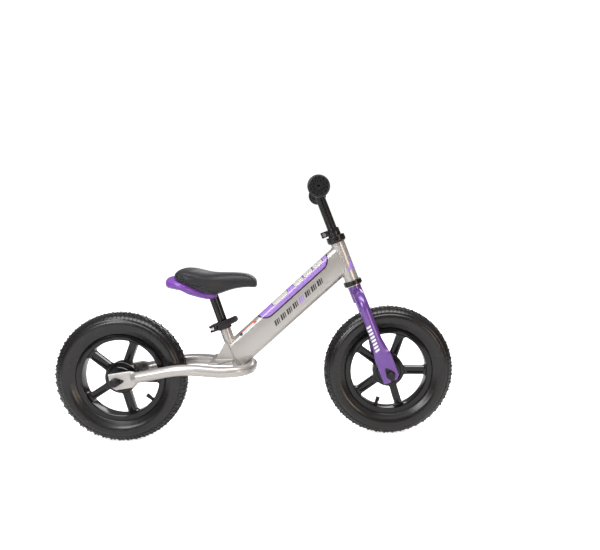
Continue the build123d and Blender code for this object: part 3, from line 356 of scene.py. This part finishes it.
# decals in mm along and across their tube; a stripe is (along, across, half along, half across, colour)
tubePanel = {"centre": (302.75, 220.7), "half": (108.85, 30.3), "radius": 30.0, "line": 3.2,
             "windows": [(262.4, 22.4), (318.8, 13.4), (349.0, 12.6), (378.8, 13.6)],
             "windowLow": 204.4, "windowTop": 226.0, "windowRadius": 4.6, "windowLine": 1.6,
             "windowRim": (0.05, 0.03, 0.10, 1)}
tubeMarks = {"from": 214.0, "pitch": 19.2, "count": 8, "low": 172.5, "half": 6.0, "slant": 0.42,
             "rise": 0.02, "bars": [(2.4, 2.3), (8.2, 1.9), (13.2, 1.3)], "purple": 4, "radius": 0.4}
tubeStripes = {"centre": (160.0, 206.2), "radius": 0.4, "colours": [
    (0.0, 2.1, 24.0, 0.9, (0.80, 0.13, 0.02, 1)), (0.0, 0.2, 24.0, 1.0, white),
    (0.0, -1.8, 24.0, 1.0, (0.02, 0.30, 0.62, 1)), (21.5, 0.1, 3.6, 3.0, (0.70, 0.06, 0.02, 1)),
    (-21.0, 0.1, 3.4, 3.0, (0.03, 0.02, 0.03, 1))]}
headMark = {"centre": (9.0, 275.0), "half": (12.0, 21.5), "radius": 0.5, "steep": 1.47,
            "foot": (257.5, 257.0)}
forkMarks = {"from": 65.0, "across": -4.6, "pitch": 8.2, "count": 8, "half": 2.3, "reach": 5.2, "slant": 0.35,
             "radius": 0.3}


def paint(name, colour, deepColour, decals=None, metal=0.55, rough=0.33):
    material, tree, shader, position = newMaterial(name)
    grain = useGroup(tree, surfaceGrain, Position=position, Fine=1500.0, Coarse=14.0, Patchiness=0.5)
    peel = put(tree, "ShaderNodeTexNoise", {"Vector": position, "Scale": 190.0, "Detail": 2.0})
    base = mixColour(tree, grain["Patches"], deepColour, colour)
    wear = useGroup(tree, edgeWear, Position=position, Width=0.0006, Amount=0.35, Breakup=220.0)
    base = mixColour(tree, wear["Mask"], base, tuple(0.6 * c + 0.3 for c in colour[:3]) + (1,))
    if decals:
        base, flat = decals(tree, position, base)
        tree.links.new(mixValue(tree, flat, metal, 0.0), shader.inputs["Metallic"])
    else:
        shader.inputs["Metallic"].default_value = metal
    tree.links.new(base, shader.inputs["Base Color"])
    tree.links.new(mixValue(tree, grain["Height"], rough - 0.05, rough + 0.06), shader.inputs["Roughness"])
    shader.inputs["Coat Weight"].default_value = 0.7
    shader.inputs["Coat Roughness"].default_value = 0.09
    bumped(tree, shader, peel.outputs[0], 0.06, 0.0004)
    return material


def patch(tree, coords, centre, half, radius=0.0, slant=0.0, soft=0.22):
    return useGroup(tree, patchMask, Coords=coords, Centre=(*centre, 0), Half=(*half, 0), Radius=radius,
                    Slant=slant, Soft=soft)["Mask"]


def tubeDecals(tree, position, base):
    coords = useGroup(tree, flatCoords, Position=position, Along=tubeAlong, Across=tubeAcross)["Coords"]
    panel = tubePanel
    outer = patch(tree, coords, panel["centre"], panel["half"], panel["radius"])
    inner = patch(tree, coords, panel["centre"], [h - panel["line"] for h in panel["half"]],
                  panel["radius"] - panel["line"])
    base = mixColour(tree, outer, base, decalLine)
    base = mixColour(tree, inner, base, decalPurple)
    cover = outer
    middle = (panel["windowLow"] + panel["windowTop"]) / 2
    tall = (panel["windowTop"] - panel["windowLow"]) / 2
    for centre, half in panel["windows"]:
        rim = patch(tree, coords, (centre, middle), (half + panel["windowLine"], tall + panel["windowLine"]),
                    panel["windowRadius"] + panel["windowLine"])
        glass = patch(tree, coords, (centre, middle), (half, tall), panel["windowRadius"])
        base = mixColour(tree, rim, base, panel["windowRim"])
        base = mixColour(tree, glass, base, silver)
    marks = tubeMarks
    for index in range(marks["count"]):
        start = marks["from"] + index * marks["pitch"]
        middle = marks["low"] + index * marks["pitch"] * marks["rise"]
        for offset, halfAlong in marks["bars"]:
            mask = patch(tree, coords, (start + offset, middle), (halfAlong, marks["half"]), marks["radius"],
                         marks["slant"])
            tint = decalPurple if index == marks["purple"] else decalBlack
            base = mixColour(tree, mask, base, tint)
            cover = maths(tree, "MAXIMUM", cover, mask)
    middleA, middleB = tubeStripes["centre"]
    for a, b, halfA, halfB, colour in tubeStripes["colours"]:
        mask = patch(tree, coords, (middleA + a, middleB + b), (halfA, halfB), tubeStripes["radius"])
        base = mixColour(tree, mask, base, colour)
        cover = maths(tree, "MAXIMUM", cover, mask)
    return base, cover


def headDecals(tree, position, base):
    coords = useGroup(tree, flatCoords, Position=position, From=headFoot, Along=headForward,
                      Across=headUp)["Coords"]
    low = patch(tree, coords, headMark["centre"], headMark["half"], headMark["radius"])
    parts = put(tree, "ShaderNodeSeparateXYZ", {0: coords})
    rise = maths(tree, "MULTIPLY_ADD", parts.outputs[0], -headMark["steep"], parts.outputs[1])
    start, stop = headMark["foot"]
    under = put(tree, "ShaderNodeMapRange", {0: rise, 1: start, 2: stop, 3: 0.0, 4: 1.0}).outputs[0]
    mask = maths(tree, "MULTIPLY", low, under)
    return mixColour(tree, mask, base, decalPurple), mask


def forkDecals(tree, position, base):
    coords = useGroup(tree, flatCoords, Position=position, From=headFoot, Along=headUp,
                      Across=headForward)["Coords"]
    marks = forkMarks
    cover = None
    for index in range(marks["count"]):
        centre = (marks["from"] + index * marks["pitch"], marks["across"])
        mask = patch(tree, coords, centre, (marks["half"], marks["reach"]), marks["radius"], marks["slant"])
        base = mixColour(tree, mask, base, white)
        cover = mask if cover is None else maths(tree, "MAXIMUM", cover, mask)
    return base, cover


def moulded(name, colour, rough, fine, strength, coat=0.0, dust=0.0, shine=0.35):
    material, tree, shader, position = newMaterial(name)
    grain = useGroup(tree, surfaceGrain, Position=position, Fine=fine, Coarse=30.0, Patchiness=0.25)
    lighter = tuple(min(1.0, c * 1.5 + 0.002) for c in colour[:3]) + (1,)
    base = mixColour(tree, grain["Patches"], colour, lighter)
    wear = useGroup(tree, edgeWear, Position=position, Width=0.0005, Amount=0.3, Breakup=260.0)
    base = mixColour(tree, wear["Mask"], base, tuple(min(1.0, c * 2.0 + 0.008) for c in colour[:3]) + (1,))
    if dust:
        film = useGroup(tree, dustFilm, Position=position, Amount=dust, Scale=60.0)
        base = mixColour(tree, film["Mask"], base, (0.30, 0.28, 0.26, 1))
    tree.links.new(base, shader.inputs["Base Color"])
    tree.links.new(mixValue(tree, grain["Patches"], rough - 0.05, rough + 0.08), shader.inputs["Roughness"])
    shader.inputs["Coat Weight"].default_value = coat
    shader.inputs["Coat Roughness"].default_value = 0.12
    shader.inputs["Specular IOR Level"].default_value = shine
    bumped(tree, shader, grain["Height"], strength, 0.0001)
    return material


def plated(name, colour, rough):
    material, tree, shader, position = newMaterial(name)
    lines = put(tree, "ShaderNodeMapping", {"Vector": position, "Scale": (1.0, 6.0, 1.0)})
    grain = useGroup(tree, surfaceGrain, Position=lines.outputs[0], Fine=400.0, Coarse=60.0, Patchiness=0.5)
    tree.links.new(mixColour(tree, grain["Patches"], tuple(c * 0.8 for c in colour[:3]) + (1,), colour),
                   shader.inputs["Base Color"])
    tree.links.new(mixValue(tree, grain["Height"], rough - 0.08, rough + 0.12), shader.inputs["Roughness"])
    shader.inputs["Metallic"].default_value = 1.0
    bumped(tree, shader, grain["Height"], 0.1, 0.00005)
    return material


def tyreRubber():
    material, tree, shader, position = newMaterial("tyreRubber")
    grain = useGroup(tree, surfaceGrain, Position=position, Fine=700.0, Coarse=18.0, Patchiness=0.7)
    film = useGroup(tree, dustFilm, Position=position, Amount=0.02, Scale=90.0)
    base = mixColour(tree, grain["Patches"], (0.0035, 0.0035, 0.004, 1), (0.010, 0.0085, 0.008, 1))
    base = mixColour(tree, film["Mask"], base, (0.25, 0.22, 0.20, 1))
    tree.links.new(base, shader.inputs["Base Color"])
    tree.links.new(mixValue(tree, grain["Patches"], 0.22, 0.32), shader.inputs["Roughness"])
    shader.inputs["Specular IOR Level"].default_value = 0.5
    bumped(tree, shader, grain["Height"], 0.12, 0.00015)
    return material


def saddleVinyl():
    # pebbled leather-look cover: small cells with soft valleys between them
    material, tree, shader, position = newMaterial("saddleVinyl")
    grain = useGroup(tree, surfaceGrain, Position=position, Fine=1200.0, Coarse=22.0, Patchiness=0.4)
    cells = put(tree, "ShaderNodeTexVoronoi", {"Vector": position, "Scale": 850.0, "Randomness": 0.9},
                feature="SMOOTH_F1")
    height = maths(tree, "MULTIPLY_ADD", grain["Height"], 0.3, cells.outputs[0])
    base = mixColour(tree, grain["Patches"], (0.010, 0.010, 0.012, 1), (0.018, 0.018, 0.020, 1))
    tree.links.new(base, shader.inputs["Base Color"])
    tree.links.new(mixValue(tree, cells.outputs[0], 0.40, 0.55), shader.inputs["Roughness"])
    shader.inputs["Specular IOR Level"].default_value = 0.4
    shader.inputs["Sheen Weight"].default_value = 0.05
    shader.inputs["Sheen Roughness"].default_value = 0.4
    bumped(tree, shader, height, 0.25, 0.00025)
    return material


finish = {
    "framePaint": paint("framePaint", silver, darkSilver),
    "tubePaint": paint("tubePaint", silver, darkSilver, tubeDecals),
    "headPaint": paint("headPaint", silver, darkSilver, headDecals),
    "forkPaint": paint("forkPaint", forkPurple, forkPurpleDeep, metal=0.35, rough=0.30),
    "forkLegPaint": paint("forkLegPaint", forkPurple, forkPurpleDeep, forkDecals, metal=0.35, rough=0.30),
    "powderBlack": moulded("powderBlack", (0.0045, 0.004, 0.0045, 1), 0.24, 900.0, 0.12, coat=0.15),
    "wheelPlastic": moulded("wheelPlastic", (0.0025, 0.0025, 0.0035, 1), 0.13, 500.0, 0.05, shine=0.42),
    "capPlastic": moulded("capPlastic", (0.008, 0.006, 0.007, 1), 0.36, 700.0, 0.15),
    "gripRubber": moulded("gripRubber", (0.006, 0.006, 0.007, 1), 0.38, 800.0, 0.3, dust=0.04),
    "valveRubber": moulded("valveRubber", (0.006, 0.006, 0.006, 1), 0.5, 600.0, 0.3),
    "shellPlastic": moulded("shellPlastic", (0.14, 0.042, 0.29, 1), 0.34, 420.0, 0.08, coat=0.15, shine=0.5),
    "zincPlate": plated("zincPlate", (0.72, 0.72, 0.74, 1), 0.24),
    "bareSteel": plated("bareSteel", (0.55, 0.54, 0.53, 1), 0.32),
    "tyreRubber": tyreRubber(),
    "saddleVinyl": saddleVinyl(),
}
print("finishes made:", len(finish))

nodeFinish = {
    "framePaint": ["seat_tube", "stay_bend", "stay_right", "stay_left", "bridge_plate", "gusset"],
    "tubePaint": ["main_tube"],
    "headPaint": ["head_tube"],
    "forkPaint": ["fork_crown"],
    "forkLegPaint": ["fork_leg_right", "fork_leg_left"],
    "powderBlack": ["upper_headset_cup", "lower_headset_cup", "headset_cap", "handlebar_post", "handlebar",
                    "seatpost", "rear_safety_washers", "front_safety_washers"],
    "capPlastic": ["rear_nut_caps", "front_nut_caps"],
    "valveRubber": ["rear_valve", "front_valve", "rear_valve_cap", "front_valve_cap", "rear_inner_tube",
                    "front_inner_tube"],
    "zincPlate": ["clamp_bolt", "clamp_nut", "clamp_skewer", "skewer_nut", "cam_washer", "lever_pin",
                  "rear_axle_nuts", "front_axle_nuts", "rear_axle_cones", "front_axle_cones"],
    "bareSteel": ["steerer_tube", "crown_race", "headset_balls", "rear_axle", "front_axle",
                  "rear_hub_bearings", "front_hub_bearings"],
}
for finishName, members in nodeFinish.items():
    for member in members:
        piece = nodes[member]
        piece.data.materials.clear()
        piece.data.materials.append(finish[finishName])

tyre = {
    "steps": 384,
    # half the section from bead to crown: (radius, side) in mm
    "half": [(96.1, 13.7), (101.4, 13.8), (102.6, 15.4), (103.8, 17.0), (105.2, 17.9), (106.0, 18.6),
             (112.2, 21.6), (113.0, 22.4), (115.6, 23.9), (119.0, 25.2), (123.0, 26.0), (127.0, 26.4),
             (131.0, 26.2), (133.6, 25.4), (134.8, 24.4), (136.2, 23.2), (138.6, 22.6), (142.4, 20.0),
             (145.2, 16.6), (146.0, 15.6), (147.2, 13.6), (148.9, 9.2), (149.2, 8.2), (149.6, 6.6),
             (150.0, 2.2), (150.05, 1.2)],
    "inside": [(144.0, 0.0), (141.0, 14.0), (127.0, 22.0), (104.0, 11.0), (96.1, 10.4)],
    "ribs": {"low": 106.0, "high": 112.2, "every": 2, "on": (0,), "inset": 0.25, "depth": 1.0},
    "badge": {"low": 127.0, "high": 131.0, "every": 192, "on": [n for n in range(60) if n % 10 < 7],
              "inset": 0.4, "depth": 0.45},
    "rows": [{"low": 138.6, "high": 145.2, "every": 4, "on": (0, 1, 2), "inset": 0.5, "depth": 1.6},
             {"low": 147.2, "high": 148.9, "every": 8, "on": (2, 3, 4, 5, 6), "inset": 0.5, "depth": 1.9},
             {"low": 149.6, "high": 150.02, "every": 8, "on": (0, 1, 2, 3, 6, 7), "inset": 0.5,
              "depth": 1.9}]}


def makeTyre(name, centre, body, node):
    half = tyre["half"]
    inside = tyre["inside"]
    outer = half + [(radius, -side) for radius, side in reversed(half)]
    inner = [(radius, -side) for radius, side in reversed(inside)] + inside[1:]
    piece = spunPiece(outer + inner + [outer[0]], centre, tyre["steps"])
    step = 2 * pi / tyre["steps"]
    for row in tyre["rows"] + [tyre["ribs"], tyre["badge"]]:
        startEdit(piece)

        def inRow(spot, normal):
            away = spot - centre
            radius = hypot(away.x, away.z) / mm
            if not row["low"] < radius < row["high"] or normal.dot(Vector((away.x, away.y * 2, away.z))) < 0:
                return False
            column = int(((atan2(away.z, away.x) + 2 * pi) % (2 * pi)) / step)
            return (column + (row["every"] // 2 if away.y > 0 else 0)) % row["every"] in row["on"]

        selectFaces(piece, inRow)
        bpy.ops.mesh.inset(thickness=row["inset"] * mm, depth=row["depth"] * mm, use_even_offset=True)
    bpy.ops.object.mode_set(mode="OBJECT")
    smooth(piece, 34)
    placed(piece, name, body, finish["tyreRubber"], [node])


makeTyre("rearTyre", rearAxle, "rear_wheel", "rear_tyre")
makeTyre("frontTyre", frontAxle, "front_wheel", "front_tyre")
print("tyres made")

roundedPieces = {
    "rearWheel": ("rear_mag_wheel", 1.0, "rear_wheel", "black_plastic", "wheelPlastic"),
    "frontWheel": ("front_mag_wheel", 1.0, "front_wheel", "black_plastic", "wheelPlastic"),
    "seatClampCollar": ("seat_clamp", 0.5, "frame", "black_steel", "powderBlack"),
    "barClampCollar": ("handlebar_clamp", 0.5, "fork", "black_steel", "powderBlack"),
    "clampLever": ("quick_release_lever", 0.9, "lever", "black_plastic", "capPlastic"),
}
for pieceName, (node, width, body, slot, finishName) in roundedPieces.items():
    placed(roundedCopy(node, width), pieceName, body, finish[finishName], [node])
print("rounded pieces made")

saddle = {
    # pad sections: x, half width, bottom, side, top in mm
    "pad": [(-174.5, 30, 382, 386, 391), (-170, 44, 377, 386, 397.5), (-161, 56, 371.5, 384.5, 402.5),
            (-148, 63, 365, 382, 404.5), (-130, 65, 356, 378, 402.5), (-112, 60, 347, 371, 397.5),
            (-97, 51, 341, 366, 393.8), (-83, 42, 340, 363.5, 392.2), (-66, 34, 346, 363, 391.6),
            (-46, 29, 353, 364.5, 391.2), (-24, 26.5, 356, 367, 390.2), (-8, 25.5, 356.5, 367, 387),
            (3, 24, 355.5, 364.5, 380.5), (9.5, 20, 355, 361, 371.5)],
    "shell": [(-196, 26, 360, 370, 379), (-191, 37, 358, 370, 383.5), (-181, 46, 356, 369, 385.8),
              (-168, 53, 353.5, 367, 384.5), (-157, 55, 351.5, 364, 382), (-149, 54, 344.5, 360, 379.5),
              (-141, 51, 341, 357, 377), (-125, 42, 335, 350, 368),
              (-105, 26, 329.5, 340, 356), (-92, 18.5, 329, 337, 349), (-82, 15, 333, 339, 346.5)],
    "panel": {"centre": (-129, 375), "half": (34, 14), "slope": -0.36, "edge": 3.0, "depth": 4.5},
    "round": 40, "squarePad": 2.6, "squareShell": 2.3}


def ringAngle(spot, shape, square):
    # how far round its ring a corner stands, whatever shape the ring has
    half, below, side, above, oldSquare = shape
    rise = spot.z / mm - side
    across = min(1.0, abs(spot.y / mm) / half) ** (oldSquare / 2) * (1 if spot.y > 0 else -1)
    lift = min(1.0, abs(rise) / (above if rise > 0 else below)) ** (oldSquare / 2) * (1 if rise > 0 else -1)
    return atan2(lift, across)


def loftedPiece(rows, count, square):
    # a ring is drawn at the tail and extruded from section to section
    x, side = rows[0][0], rows[0][3]
    deselectAll()
    bpy.ops.mesh.primitive_circle_add(vertices=count, radius=1.0, fill_type="NGON",
                                      location=(x * mm, 0, side * mm), rotation=(0, pi / 2, 0))
    piece = bpy.context.active_object
    bpy.ops.object.transform_apply(location=True, rotation=True)
    startEdit(piece, "VERT")
    bpy.ops.mesh.select_all(action="SELECT")
    shape = (1 / mm, 1 / mm, side, 1 / mm, 2.0)
    for index, (x, half, bottom, side, top) in enumerate(rows):
        if index:
            step = (x - rows[index - 1][0]) * mm
            bpy.ops.mesh.extrude_region_move(TRANSFORM_OT_translate={"value": (step, 0, 0)})
        work = bmesh.from_edit_mesh(piece.data)
        ring = [vertex for vertex in work.verts if vertex.select]
        for vertex in ring:
            angle = ringAngle(vertex.co, shape, square)
            across, rise = cos(angle), sin(angle)
            across = abs(across) ** (2 / square) * (1 if across > 0 else -1)
            rise = abs(rise) ** (2 / square) * (1 if rise > 0 else -1)
            vertex.co = Vector((x * mm, across * half * mm, side * mm + rise * mm * (
                top - side if rise > 0 else side - bottom)))
        bmesh.update_edit_mesh(piece.data)
        shape = (half, side - bottom, side, top - side, square)
    bpy.ops.object.mode_set(mode="OBJECT")
    tidyMesh(piece)
    return piece


def flankPanel(piece):
    # a sunk oval on each rear flank, with the soft ridge that is left round it
    panel = saddle["panel"]
    for side in (-1, 1):
        startEdit(piece)

        def inPanel(spot, normal):
            along = (spot.x / mm - panel["centre"][0]) / panel["half"][0]
            rise = (spot.z / mm - panel["centre"][1] - panel["slope"] * (spot.x / mm - panel["centre"][0]))
            return spot.y * side > 0.02 and along ** 2 + (rise / panel["half"][1]) ** 2 < 1

        selectFaces(piece, inPanel)
        bpy.ops.mesh.inset(thickness=panel["edge"] * mm, depth=-panel["depth"] * mm)
    bpy.ops.object.mode_set(mode="OBJECT")


padPiece = loftedPiece(saddle["pad"], saddle["round"], saddle["squarePad"])
applyModifier(padPiece, "SUBSURF", levels=1, render_levels=1)
flankPanel(padPiece)
applyModifier(padPiece, "SUBSURF", levels=2, render_levels=2)
smooth(padPiece, 60)
placed(padPiece, "saddlePad", "seat", finish["saddleVinyl"], ["saddle_pad"])

shellPiece = loftedPiece(saddle["shell"], saddle["round"], saddle["squareShell"])
applyModifier(shellPiece, "SUBSURF", levels=2, render_levels=2)
smooth(shellPiece, 60)
placed(shellPiece, "saddleShell", "seat", finish["shellPlastic"], ["saddle_shell"])
print("saddle made")

grip = {"steps": 72, "ribs": 11, "pits": [(8.2, 12.4, 6, (0, 1, 2)), (14.2, 18.4, 6, (3, 4, 5))],
        "pitEdge": 0.5, "pitDepth": 1.6}


def makeGrip():
    # the left one, from its inner end to the bar's end
    low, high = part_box("grip_left")
    inner, outer = low.y / mm, high.y / mm
    start, stop = inner + 9.0, outer - 17.0
    pitch = (stop - start) / grip["ribs"]
    profile = [(11.3, inner), (17.4, inner), (18.5, inner + 1.2), (18.5, inner + 4.2), (17.4, inner + 5.4),
               (15.6, inner + 8.0)]
    for index in range(grip["ribs"]):
        at = start + index * pitch
        profile += [(15.4, at), (15.4, at + pitch * 0.62), (14.7, at + pitch * 0.72),
                    (14.7, at + pitch * 0.9)]
    profile += [(15.4, stop), (15.6, outer - 14.0), (18.0, outer - 11.0), (21.4, outer - 9.2),
                (22.6, outer - 7.0), (22.6, outer - 3.2), (21.6, outer - 1.2), (19.6, outer - 0.2),
                (18.4, outer), (14.2, outer), (12.4, outer), (8.2, outer), (6.4, outer), (3.0, outer),
                (2.5, outer - 0.5), (2.5, outer - 3.6), (11.3, outer - 3.6), (11.3, inner)]
    piece = spunPiece(profile, Vector((barCentre.x, 0, barCentre.z)), grip["steps"])
    step = 2 * pi / grip["steps"]
    for low, high, every, on in grip["pits"]:
        startEdit(piece)

        def inPit(spot, normal):
            away = spot - barCentre
            radius = hypot(away.x, away.z) / mm
            if abs(spot.y / mm - outer) > 0.05 or not low < radius < high:
                return False
            return int(((atan2(away.z, away.x) + 2 * pi) % (2 * pi)) / step) % every in on

        selectFaces(piece, inPit)
        bpy.ops.mesh.inset(thickness=grip["pitEdge"] * mm, depth=-grip["pitDepth"] * mm)
    bpy.ops.object.mode_set(mode="OBJECT")
    smooth(piece, 32)
    return piece


leftGrip = makeGrip()
rightGrip = mirroredCopy(leftGrip)
placed(leftGrip, "leftGrip", "bars", finish["gripRubber"], ["grip_left"])
placed(rightGrip, "rightGrip", "bars", finish["gripRubber"], ["grip_right"])
print("grips made")

weld = {"radius": 1.5, "ripple": 0.22, "headRadius": 16.4, "seatRadius": 12.7, "crownRadius": 15.3,
        "legRadius": 12.7, "legOffset": 2.0, "legShoulder": 196.0, "ovalHalf": 33.4, "ovalWide": 16.2,
        "plateSide": 55.2, "plateLength": 22.5, "cheekSide": 14.2, "cheekTop": 38.0, "toeSide": 15.3,
        "toeEnd": -50.0, "heelHalf": 15.0}


def weldBead(name, spots, body, material, radius=None, closed=True):
    deselectAll()
    bpy.ops.mesh.primitive_circle_add(vertices=len(spots), radius=0.01)
    piece = bpy.context.active_object
    startEdit(piece, "VERT")
    work = bmesh.from_edit_mesh(piece.data)
    work.verts.ensure_lookup_table()
    for vertex, spot in zip(work.verts, spots):
        vertex.co = spot
    if not closed:
        work.edges.ensure_lookup_table()
        ends = {work.verts[0], work.verts[-1]}
        bmesh.ops.delete(work, geom=[edge for edge in work.edges if set(edge.verts) == ends], context="EDGES")
    bmesh.update_edit_mesh(piece.data)
    bpy.ops.object.mode_set(mode="OBJECT")
    bpy.ops.object.convert(target="CURVE")
    piece = bpy.context.active_object
    for spline in piece.data.splines:
        for index, point in enumerate(spline.points):
            point.radius = 1 + weld["ripple"] * (1 if index % 3 == 0 else -0.5)
    piece.data.bevel_depth = (radius or weld["radius"]) * mm
    piece.data.bevel_resolution = 2
    piece.data.use_fill_caps = True
    bpy.ops.object.convert(target="MESH")
    piece = bpy.context.active_object
    smooth(piece, 60)
    placed(piece, name, body, material)


def ovalPoint(turn):
    # superellipse close to the main tube's section: (across, side) in mm
    across, side = cos(turn), sin(turn)
    return (weld["ovalHalf"] * abs(across) ** 0.82 * (1 if across > 0 else -1),
            weld["ovalWide"] * abs(side) ** 0.72 * (1 if side > 0 else -1))


def tubeEnd(foot, forward, radius, ahead, count):
    # where the main tube's skin meets an upright tube
    spots = []
    for index in range(count):
        rise, side = ovalPoint(2 * pi * index / count)
        start = seatFoot + tubeAcross * rise * mm + Vector((0, side * mm, 0))
        depth = sqrt(max(radius ** 2 - side ** 2, 0.0)) * mm * ahead
        reach = (depth - (start - foot).dot(forward)) / tubeAlong.dot(forward)
        spots.append(start + tubeAlong * reach)
    return spots


weldBead("weldHead", tubeEnd(headFoot, headForward, weld["headRadius"], -1, 150), "frame",
         finish["framePaint"])
weldBead("weldSeat", tubeEnd(seatFoot, seatForward, weld["seatRadius"], 1, 140), "frame",
         finish["framePaint"])


def straightBead(name, start, stop, body, material, radius, count):
    weldBead(name, [start.lerp(stop, index / (count - 1)) for index in range(count)], body,
             material, radius=radius, closed=False)


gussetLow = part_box("gusset")[0]
plateLow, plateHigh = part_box("bridge_plate")
for side, label in ((-1, "Right"), (1, "Left")):
    ring = []
    for index in range(72):
        turn = 2 * pi * index / 72
        forward = weld["legOffset"] + weld["legRadius"] * cos(turn)
        out = sqrt(weld["crownRadius"] ** 2 - forward ** 2)
        ring.append(headFoot + headForward * forward * mm + headUp * (
            weld["legShoulder"] + weld["legRadius"] * sin(turn)) * mm + Vector((0, side * out * mm, 0)))
    weldBead("weldLeg" + label, ring, "fork", finish["forkPaint"], radius=1.1)
    rear = Vector((plateLow.x, side * weld["plateSide"] * mm, plateHigh.z - 0.6 * mm))
    straightBead("weldPlate" + label, rear, rear + Vector((weld["plateLength"] * mm, 0, 0)), "frame",
                 finish["framePaint"], 1.5, 24)
    cheek = side * weld["cheekSide"] * mm  # where the gusset's cheeks meet the seat tube
    low = seatFoot + seatUp * ((gussetLow.z - seatFoot.z) / seatUp.z + mm) + seatForward * 0.8 * mm
    high = seatFoot + seatUp * weld["cheekTop"] * mm - seatForward * 5.2 * mm
    straightBead("weldCheek" + label, low + Vector((0, cheek, 0)), high + Vector((0, cheek * 0.9, 0)),
                 "frame", finish["framePaint"], 1.4, 44)
    toe = Vector((gussetLow.x + mm, side * weld["toeSide"] * mm, plateHigh.z + 0.4 * mm))
    straightBead("weldToe" + label, toe, Vector((weld["toeEnd"] * mm, toe.y, toe.z)), "frame",
                 finish["framePaint"], 1.2, 40)
heel = Vector((gussetLow.x, weld["heelHalf"] * mm, plateHigh.z + 0.4 * mm))
straightBead("weldHeel", Vector((heel.x, -heel.y, heel.z)), heel, "frame", finish["framePaint"], 1.2, 30)
print("weld beads made")

studio = {
    "floor": 40.0, "floorGlow": 0.8, "seen": 1.05, "ambient": 0.42,
    # light from the room by height above the horizon: (place, colour)
    "room": [(0.0, (0.10, 0.085, 0.08, 1)), (0.46, (0.10, 0.08, 0.075, 1)), (0.52, (0.34, 0.24, 0.19, 1)),
             (0.60, (0.36, 0.30, 0.27, 1)), (0.74, (0.75, 0.77, 0.80, 1)), (1.0, (1.0, 1.0, 1.0, 1))],
    # name: (place, aim, size, power, colour)
    "lamps": {"overhead": ((0.0, -0.7, 2.0), (0, 0, 0.25), (2.4, 0.7), 40, (1.0, 0.99, 0.98)),
              "window": ((-1.3, -2.2, 1.5), (-0.1, 0, 0.25), (0.7, 1.2), 34, (0.97, 0.98, 1.0)),
              "fill": ((1.9, -1.9, 0.6), (0.1, 0, 0.25), (0.6, 0.9), 12, (1.0, 0.80, 0.66)),
              "behind": ((0.6, 2.2, 1.5), (0, 0, 0.25), (1.8, 1.0), 20, (1.0, 1.0, 1.0))}}


def softLight(name, spot, aim, size, power, colour):
    deselectAll()
    bpy.ops.object.light_add(type="AREA", location=spot)
    lamp = bpy.context.active_object
    lamp.name = name
    lamp.data.shape = "RECTANGLE"
    lamp.data.size, lamp.data.size_y = size
    lamp.data.energy = power
    lamp.data.color = colour
    lamp.rotation_euler = (Vector(aim) - Vector(spot)).to_track_quat("-Z", "Y").to_euler()


def buildStudio():
    deselectAll()
    bpy.ops.mesh.primitive_plane_add(size=studio["floor"], location=(0, 0, -0.0005))
    floor = bpy.context.active_object
    floor.name = "floor"
    material, tree, shader, position = newMaterial("paleFloor")
    shader.inputs["Base Color"].default_value = (0.92, 0.92, 0.92, 1)
    shader.inputs["Roughness"].default_value = 0.9
    shader.inputs["Specular IOR Level"].default_value = 0.0
    path = put(tree, "ShaderNodeLightPath")
    glow = put(tree, "ShaderNodeEmission", {"Strength": maths(
        tree, "MULTIPLY", path.outputs["Is Camera Ray"], studio["floorGlow"])})
    both = put(tree, "ShaderNodeAddShader", {0: shader.outputs[0], 1: glow.outputs[0]})
    tree.links.new(both.outputs[0], tree.nodes["Material Output"].inputs["Surface"])
    floor.data.materials.append(material)
    world = bpy.data.worlds.new("studioWorld")
    bpy.context.scene.world = world
    world.use_nodes = True
    tree = world.node_tree
    heading = put(tree, "ShaderNodeSeparateXYZ", {0: put(tree, "ShaderNodeTexCoord").outputs["Generated"]})
    height = maths(tree, "MULTIPLY_ADD", heading.outputs[2], 0.5, 0.5)
    ramp = put(tree, "ShaderNodeValToRGB", {0: height})
    stops = ramp.color_ramp.elements
    stops[0].position, stops[0].color = studio["room"][0]
    stops[1].position, stops[1].color = studio["room"][-1]
    for place, colour in studio["room"][1:-1]:
        stops.new(place).color = colour
    room = put(tree, "ShaderNodeBackground", {"Color": ramp.outputs[0], "Strength": studio["ambient"]})
    seen = put(tree, "ShaderNodeBackground", {"Color": (1, 1, 1, 1), "Strength": studio["seen"]})
    path = put(tree, "ShaderNodeLightPath")
    mix = put(tree, "ShaderNodeMixShader", {
        0: path.outputs["Is Camera Ray"], 1: room.outputs[0], 2: seen.outputs[0]})
    tree.links.new(mix.outputs[0], tree.nodes["World Output"].inputs["Surface"])
    for name, settings in studio["lamps"].items():
        softLight(name, *settings)


view = {"lens": 37.02, "shift": (-0.0544, 0.0400), "spot": (0.14184, -1.43114, 0.49124),
        "yaw": 0.0295, "pitch": 0.1168, "roll": -0.0197}


def makeCamera():
    data = bpy.data.cameras.new("view")
    data.lens = view["lens"]
    data.sensor_width = 36.0
    data.shift_x, data.shift_y = view["shift"]
    camera = bpy.data.objects.new("view", data)
    bpy.context.scene.collection.objects.link(camera)
    yaw, pitch, roll = view["yaw"], view["pitch"], view["roll"]
    look = Vector((sin(yaw) * cos(pitch), cos(yaw) * cos(pitch), -sin(pitch)))
    right = Vector((cos(yaw), -sin(yaw), 0))
    up = right.cross(look)
    sideways = right * cos(roll) + up * sin(roll)
    upwards = up * cos(roll) - right * sin(roll)
    turn = Matrix((sideways, upwards, -look)).transposed()
    camera.matrix_world = Matrix.Translation(Vector(view["spot"])) @ turn.to_4x4()
    bpy.context.scene.camera = camera


buildStudio()
makeCamera()
bpy.context.scene.view_settings.view_transform = "Standard"
print("studio and camera made")
